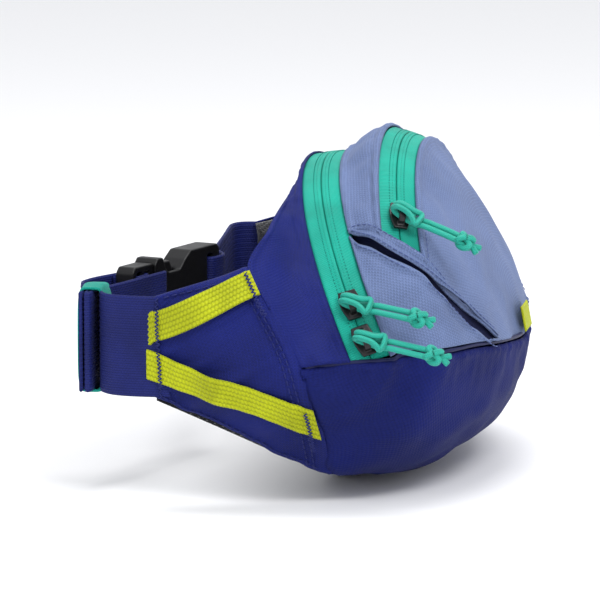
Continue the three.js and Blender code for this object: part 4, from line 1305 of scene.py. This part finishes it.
def back_cover(cover):
    """Mesh over the padding, puffed between two upright channels and a level one."""
    a, b = np.linspace(-1, 1, len(cover))[:, None], np.linspace(-1, 1, cover.shape[1])
    edge = np.maximum(np.abs(a), np.abs(b))
    pinch = edge ** 14
    upright = np.maximum(bell(a, 0.36, 0.03), bell(a, -0.36, 0.03))
    channels = np.maximum(upright, bell(b, 0.0, 0.03)) * (1 - pinch)
    puff = 1.2 * (1 - edge ** 3) + 0.25 * soft_noise(cover, 16.0, 51)
    far = 6.6 + 1.3 + puff - 1.6 * channels - 5.4 * pinch
    inner = cover + BACKWARDS * (6.3 - 5.2 * pinch)[..., None]
    closed_pad("back_mesh_cover", cover + BACKWARDS * far[..., None], inner, MESH, ["back_mesh"])


def back_closures():
    """Cloth from the shell's rear edge to the padding's top, and from each wing's padding to its sides."""
    u = np.linspace(0.09, 0.91, 160)
    rim = dome(0 * u, u)
    x = np.clip(rim[:, 0] * 0.95, -PAD_HALF + 0.5, PAD_HALF - 0.5)
    seat = wall_point(x, wall_top(x) - 3.0) + BACKWARDS * 2.2
    share = np.linspace(0, 1, 14)[:, None, None]
    cloth = rim + (seat - rim) * share
    cloth = cloth + np.array([0, 1.8, 0.6]) * np.sin(math.pi * share)
    facing = np.broadcast_to(np.array([0, 1.0, 0.6]), cloth.shape)
    grid_mesh("back_top_cloth", cloth, NAVY, facing, 0.8)
    p, n = wing_grid([0.23, 0.24], np.linspace(0.02, 0.98, 60))
    outer = p[1] - n[1] * 8.3
    z = np.clip(outer[:, 2], 38.5, 95)
    inner = wall_point(0 * z - PAD_HALF + 1.0, z) + BACKWARDS * 3.5
    share = np.linspace(0, 1, 16)[:, None, None]
    strip = outer + (inner - outer) * share - np.array([0, 3.0, 0]) * np.sin(math.pi * share)
    for side, hand in HANDS.items():
        facing = np.broadcast_to(np.array([1.0, 1.0, 0]) * hand, strip.shape)
        grid_mesh(f"back_corner_cloth_{side}", strip * hand, MESH, facing, 0.8)


def back_binding(cover):
    """Navy tape bound round the padding's edge."""
    rim = np.concatenate([cover[:, 0], cover[-1, 1:], cover[::-1, -1][1:], cover[0, ::-1][1:-1]])
    path = resample(np.concatenate([rim, rim[:1]]), 2.0)[:-1]
    path = path + BACKWARDS * 1.4
    path[:, 2] = np.maximum(path[:, 2], DATUM[2] + BINDING_RADIUS + 0.05)
    tube("back_binding", path, BINDING_RADIUS, WEBBING, "pack", around=10, closed=True)


def divider():
    top = dome(FRONT_REAR - 4, np.linspace(0.25, 0.75, 60))
    drop = np.linspace(0, 1, 30)
    x = top[:, :1] * (0.97 - 0.11 * drop)
    y = top[:, 1:2] + (-22 - top[:, 1:2]) * np.minimum(1, drop * 1.2)
    z = (top[:, 2:] - 6) * (1 - drop) + (floor_at(x) + 8) * drop
    p = np.stack([x, y, z], -1)
    facing = np.broadcast_to(-BACKWARDS, p.shape)
    p = rumple(p, facing, [(0.6, (20, 20, 20), 61)])
    grid_mesh("pocket_divider_cloth", p, LINING, facing, 0.6, replaces=["pocket_divider"])


# ---- The belt ----
BUCKLE_AT = np.array([-41.0, 79.0])
BUCKLE_RUN = np.array([0.954, -0.3])
BUCKLE_OUT = np.array([0.3, 0.954])
BUCKLE_AXES = np.array([[*BUCKLE_RUN, 0], [*BUCKLE_OUT, 0], [0, 0, 1]])


def plan_at(s, o):
    return tuple(BUCKLE_AT + BUCKLE_RUN * s + BUCKLE_OUT * o)


def belt(node, plan, body="pack"):
    """Webbing that stands on edge along a plan path, in place of a CAD node."""
    path = resample(rounded(plan), 1.0)
    run = unit(np.gradient(path, axis=0))
    out = np.stack([-run[:, 1], run[:, 0], 0 * run[:, 0]], -1)
    centre = np.stack([path[:, 0], path[:, 1], 0 * path[:, 0] + WEB_MID_Z], -1)
    ups = np.broadcast_to([0.0, 0, 1], centre.shape)
    section = bar_section(WEB_HIGH, WEB_THICK, 61, 20, 0.10)
    swept(node, centre, ups, out, section, WEBBING, body)


def belts():
    belt("webbing_left", [
        [-103.4, 56], [-103.9, 62.4], [-104, 70], [-102.4, 78.5], [-96.4, 84.3], [-87, 85.7], [-80, 84.8],
        plan_at(-32, -7), plan_at(3.7, -7)])
    belt("webbing_stack", [
        [-79.6, 88.2], [-97.6, 88.2], [-98.6, 89.1], [-97.6, 90], [-81, 90], [-80, 90.9], [-81, 91.8],
        [-98, 91.8]])
    belt("webbing_tail", [[-78.3, 92.2], [-75.5, 96], [-70, 97.4], [-60, 94.6], plan_at(-10, 6.9)])
    belt("webbing_right", [
        [103.4, 56], [103.9, 62.4], [102.5, 68], [97, 71], [88, 70.4], [60, 67.4], [32, 65], plan_at(62, 2.6),
        plan_at(55, 5.95), plan_at(44.9, 5.95), plan_at(43.9, 4.9), plan_at(43.9, -4.9), plan_at(44.9, -5.95),
        plan_at(55, -5.95), plan_at(62, 0.6)])
    belt("adjuster_fold", [
        plan_at(-15, -4.95), plan_at(-6.7, -4.95), plan_at(-5.4, -3.9), plan_at(-5.4, 3.9),
        plan_at(-6.7, 4.95), plan_at(-15, 4.95)], "male_half")


KEEPER_Y, KEEPER_Z = 88.6, 65.0


def keeper():
    """A loop of elastic round the folded webbing, bulged over the top."""
    turns = np.append(np.linspace(0, 2 * math.pi, 96, endpoint=False), 0)
    y = KEEPER_Y + 5.4 * np.sign(np.cos(turns)) * np.abs(np.cos(turns)) ** 0.32
    z = KEEPER_Z + 20.6 * np.sign(np.sin(turns)) * np.abs(np.sin(turns)) ** 0.55
    x = np.linspace(-94, -80, 22)[:, None]
    pinch = 1 + 0.02 * np.cos((x + 87) / 7 * math.pi)
    waved = x + 0.35 * np.sin(turns * 3 + 1)
    p = np.stack([waved, (y - KEEPER_Y) * pinch + KEEPER_Y, (z - KEEPER_Z) * pinch + KEEPER_Z], -1)
    facing = (p - np.array([0, KEEPER_Y, KEEPER_Z])) * np.array([0, 1.0, 1.0])
    grid_mesh("elastic_keeper_loop", p, ELASTIC, facing, 1.0, replaces=["elastic_keeper"])


def buckles():
    for node, body in (("buckle_female", "pack"), ("buckle_male", "male_half"),
                       ("buckle_prong_upper", "prong_upper"), ("buckle_prong_lower", "prong_lower")):
        rounded_copy(node, 0.5, 5, PLASTIC, body, BUCKLE_AXES)


PATCH_HALF_WIDE, PATCH_HALF_HIGH, PATCH_Z = 9, 5, 63.6


def patch():
    """A plain sewn patch low on the front, with a rounded edge. It leans back a little towards its top."""
    a = np.linspace(-1, 1, 60)[:, None]
    b = np.linspace(-1, 1, 36)[None, :]
    edge = np.maximum(np.abs(a), np.abs(b))
    swell = 0.35 * np.clip((1 - edge) / 0.12, 0, 1) ** 0.5 + 0.2 * bell(edge, 0.86, 0.07)
    y = BAG_FRONT_Y - 0.15 - swell + np.sin(0.2) * b * PATCH_HALF_HIGH
    p = np.stack([a * PATCH_HALF_WIDE + 0 * b, y, PATCH_Z + b * PATCH_HALF_HIGH + 0 * a], -1)
    grid_mesh("front_patch_cloth", p, LIME, np.broadcast_to(-BACKWARDS, p.shape), 0.5,
              replaces=["front_patch"])


shell()
shell_stitching()
bottom()
piping()
zip_pieces("main_zip", MAIN_ZIP, MAIN_ZIP.half - 0.02, MAIN_ZIP.half - 0.006, MAIN_ZIP.half - 0.002)
zip_pieces("front_zip", FRONT_ZIP, FRONT_REACH, 0.885, 0.985)
sliders()
wings()
back()
divider()
belts()
keeper()
buckles()
patch()


# ---- Floor and light ----
def floor():
    mesh = bpy.data.meshes.new("floor")
    mesh.from_pydata([(-6, -6, 0), (6, -6, 0), (6, 6, 0), (-6, 6, 0)], [], [(0, 1, 2, 3)])
    plane = bpy.data.objects.new("floor", mesh)
    scene.collection.objects.link(plane)
    look = Look("pale_floor", Roughness=0.9, Specular_IOR_Level=0.2)
    look.colour((0.86, 0.86, 0.87, 1))
    plane.data.materials.append(look.material)


def softbox(name, place, size, power, aim):
    data = bpy.data.lights.new(name, "AREA")
    data.shape = "DISK"
    data.size = size
    data.energy = power
    lamp = bpy.data.objects.new(name, data)
    scene.collection.objects.link(lamp)
    lamp.location = place
    lamp.rotation_euler = (Vector(aim) - Vector(place)).to_track_quat("-Z", "Y").to_euler()


def studio():
    floor()
    world = bpy.data.worlds.new("studio")
    world.use_nodes = True
    world.node_tree.nodes["Background"].inputs[0].default_value = (0.97, 0.98, 1.0, 1)
    world.node_tree.nodes["Background"].inputs[1].default_value = 0.95
    scene.world = world
    middle = (0, 0, 0.07)
    softbox("key", (-0.9, -0.7, 1.2), 0.6, 12, middle)
    softbox("fill", (-1.2, 0.9, 0.7), 1.2, 3, middle)
    softbox("top", (0.1, -0.1, 1.4), 0.7, 9, middle)


studio()
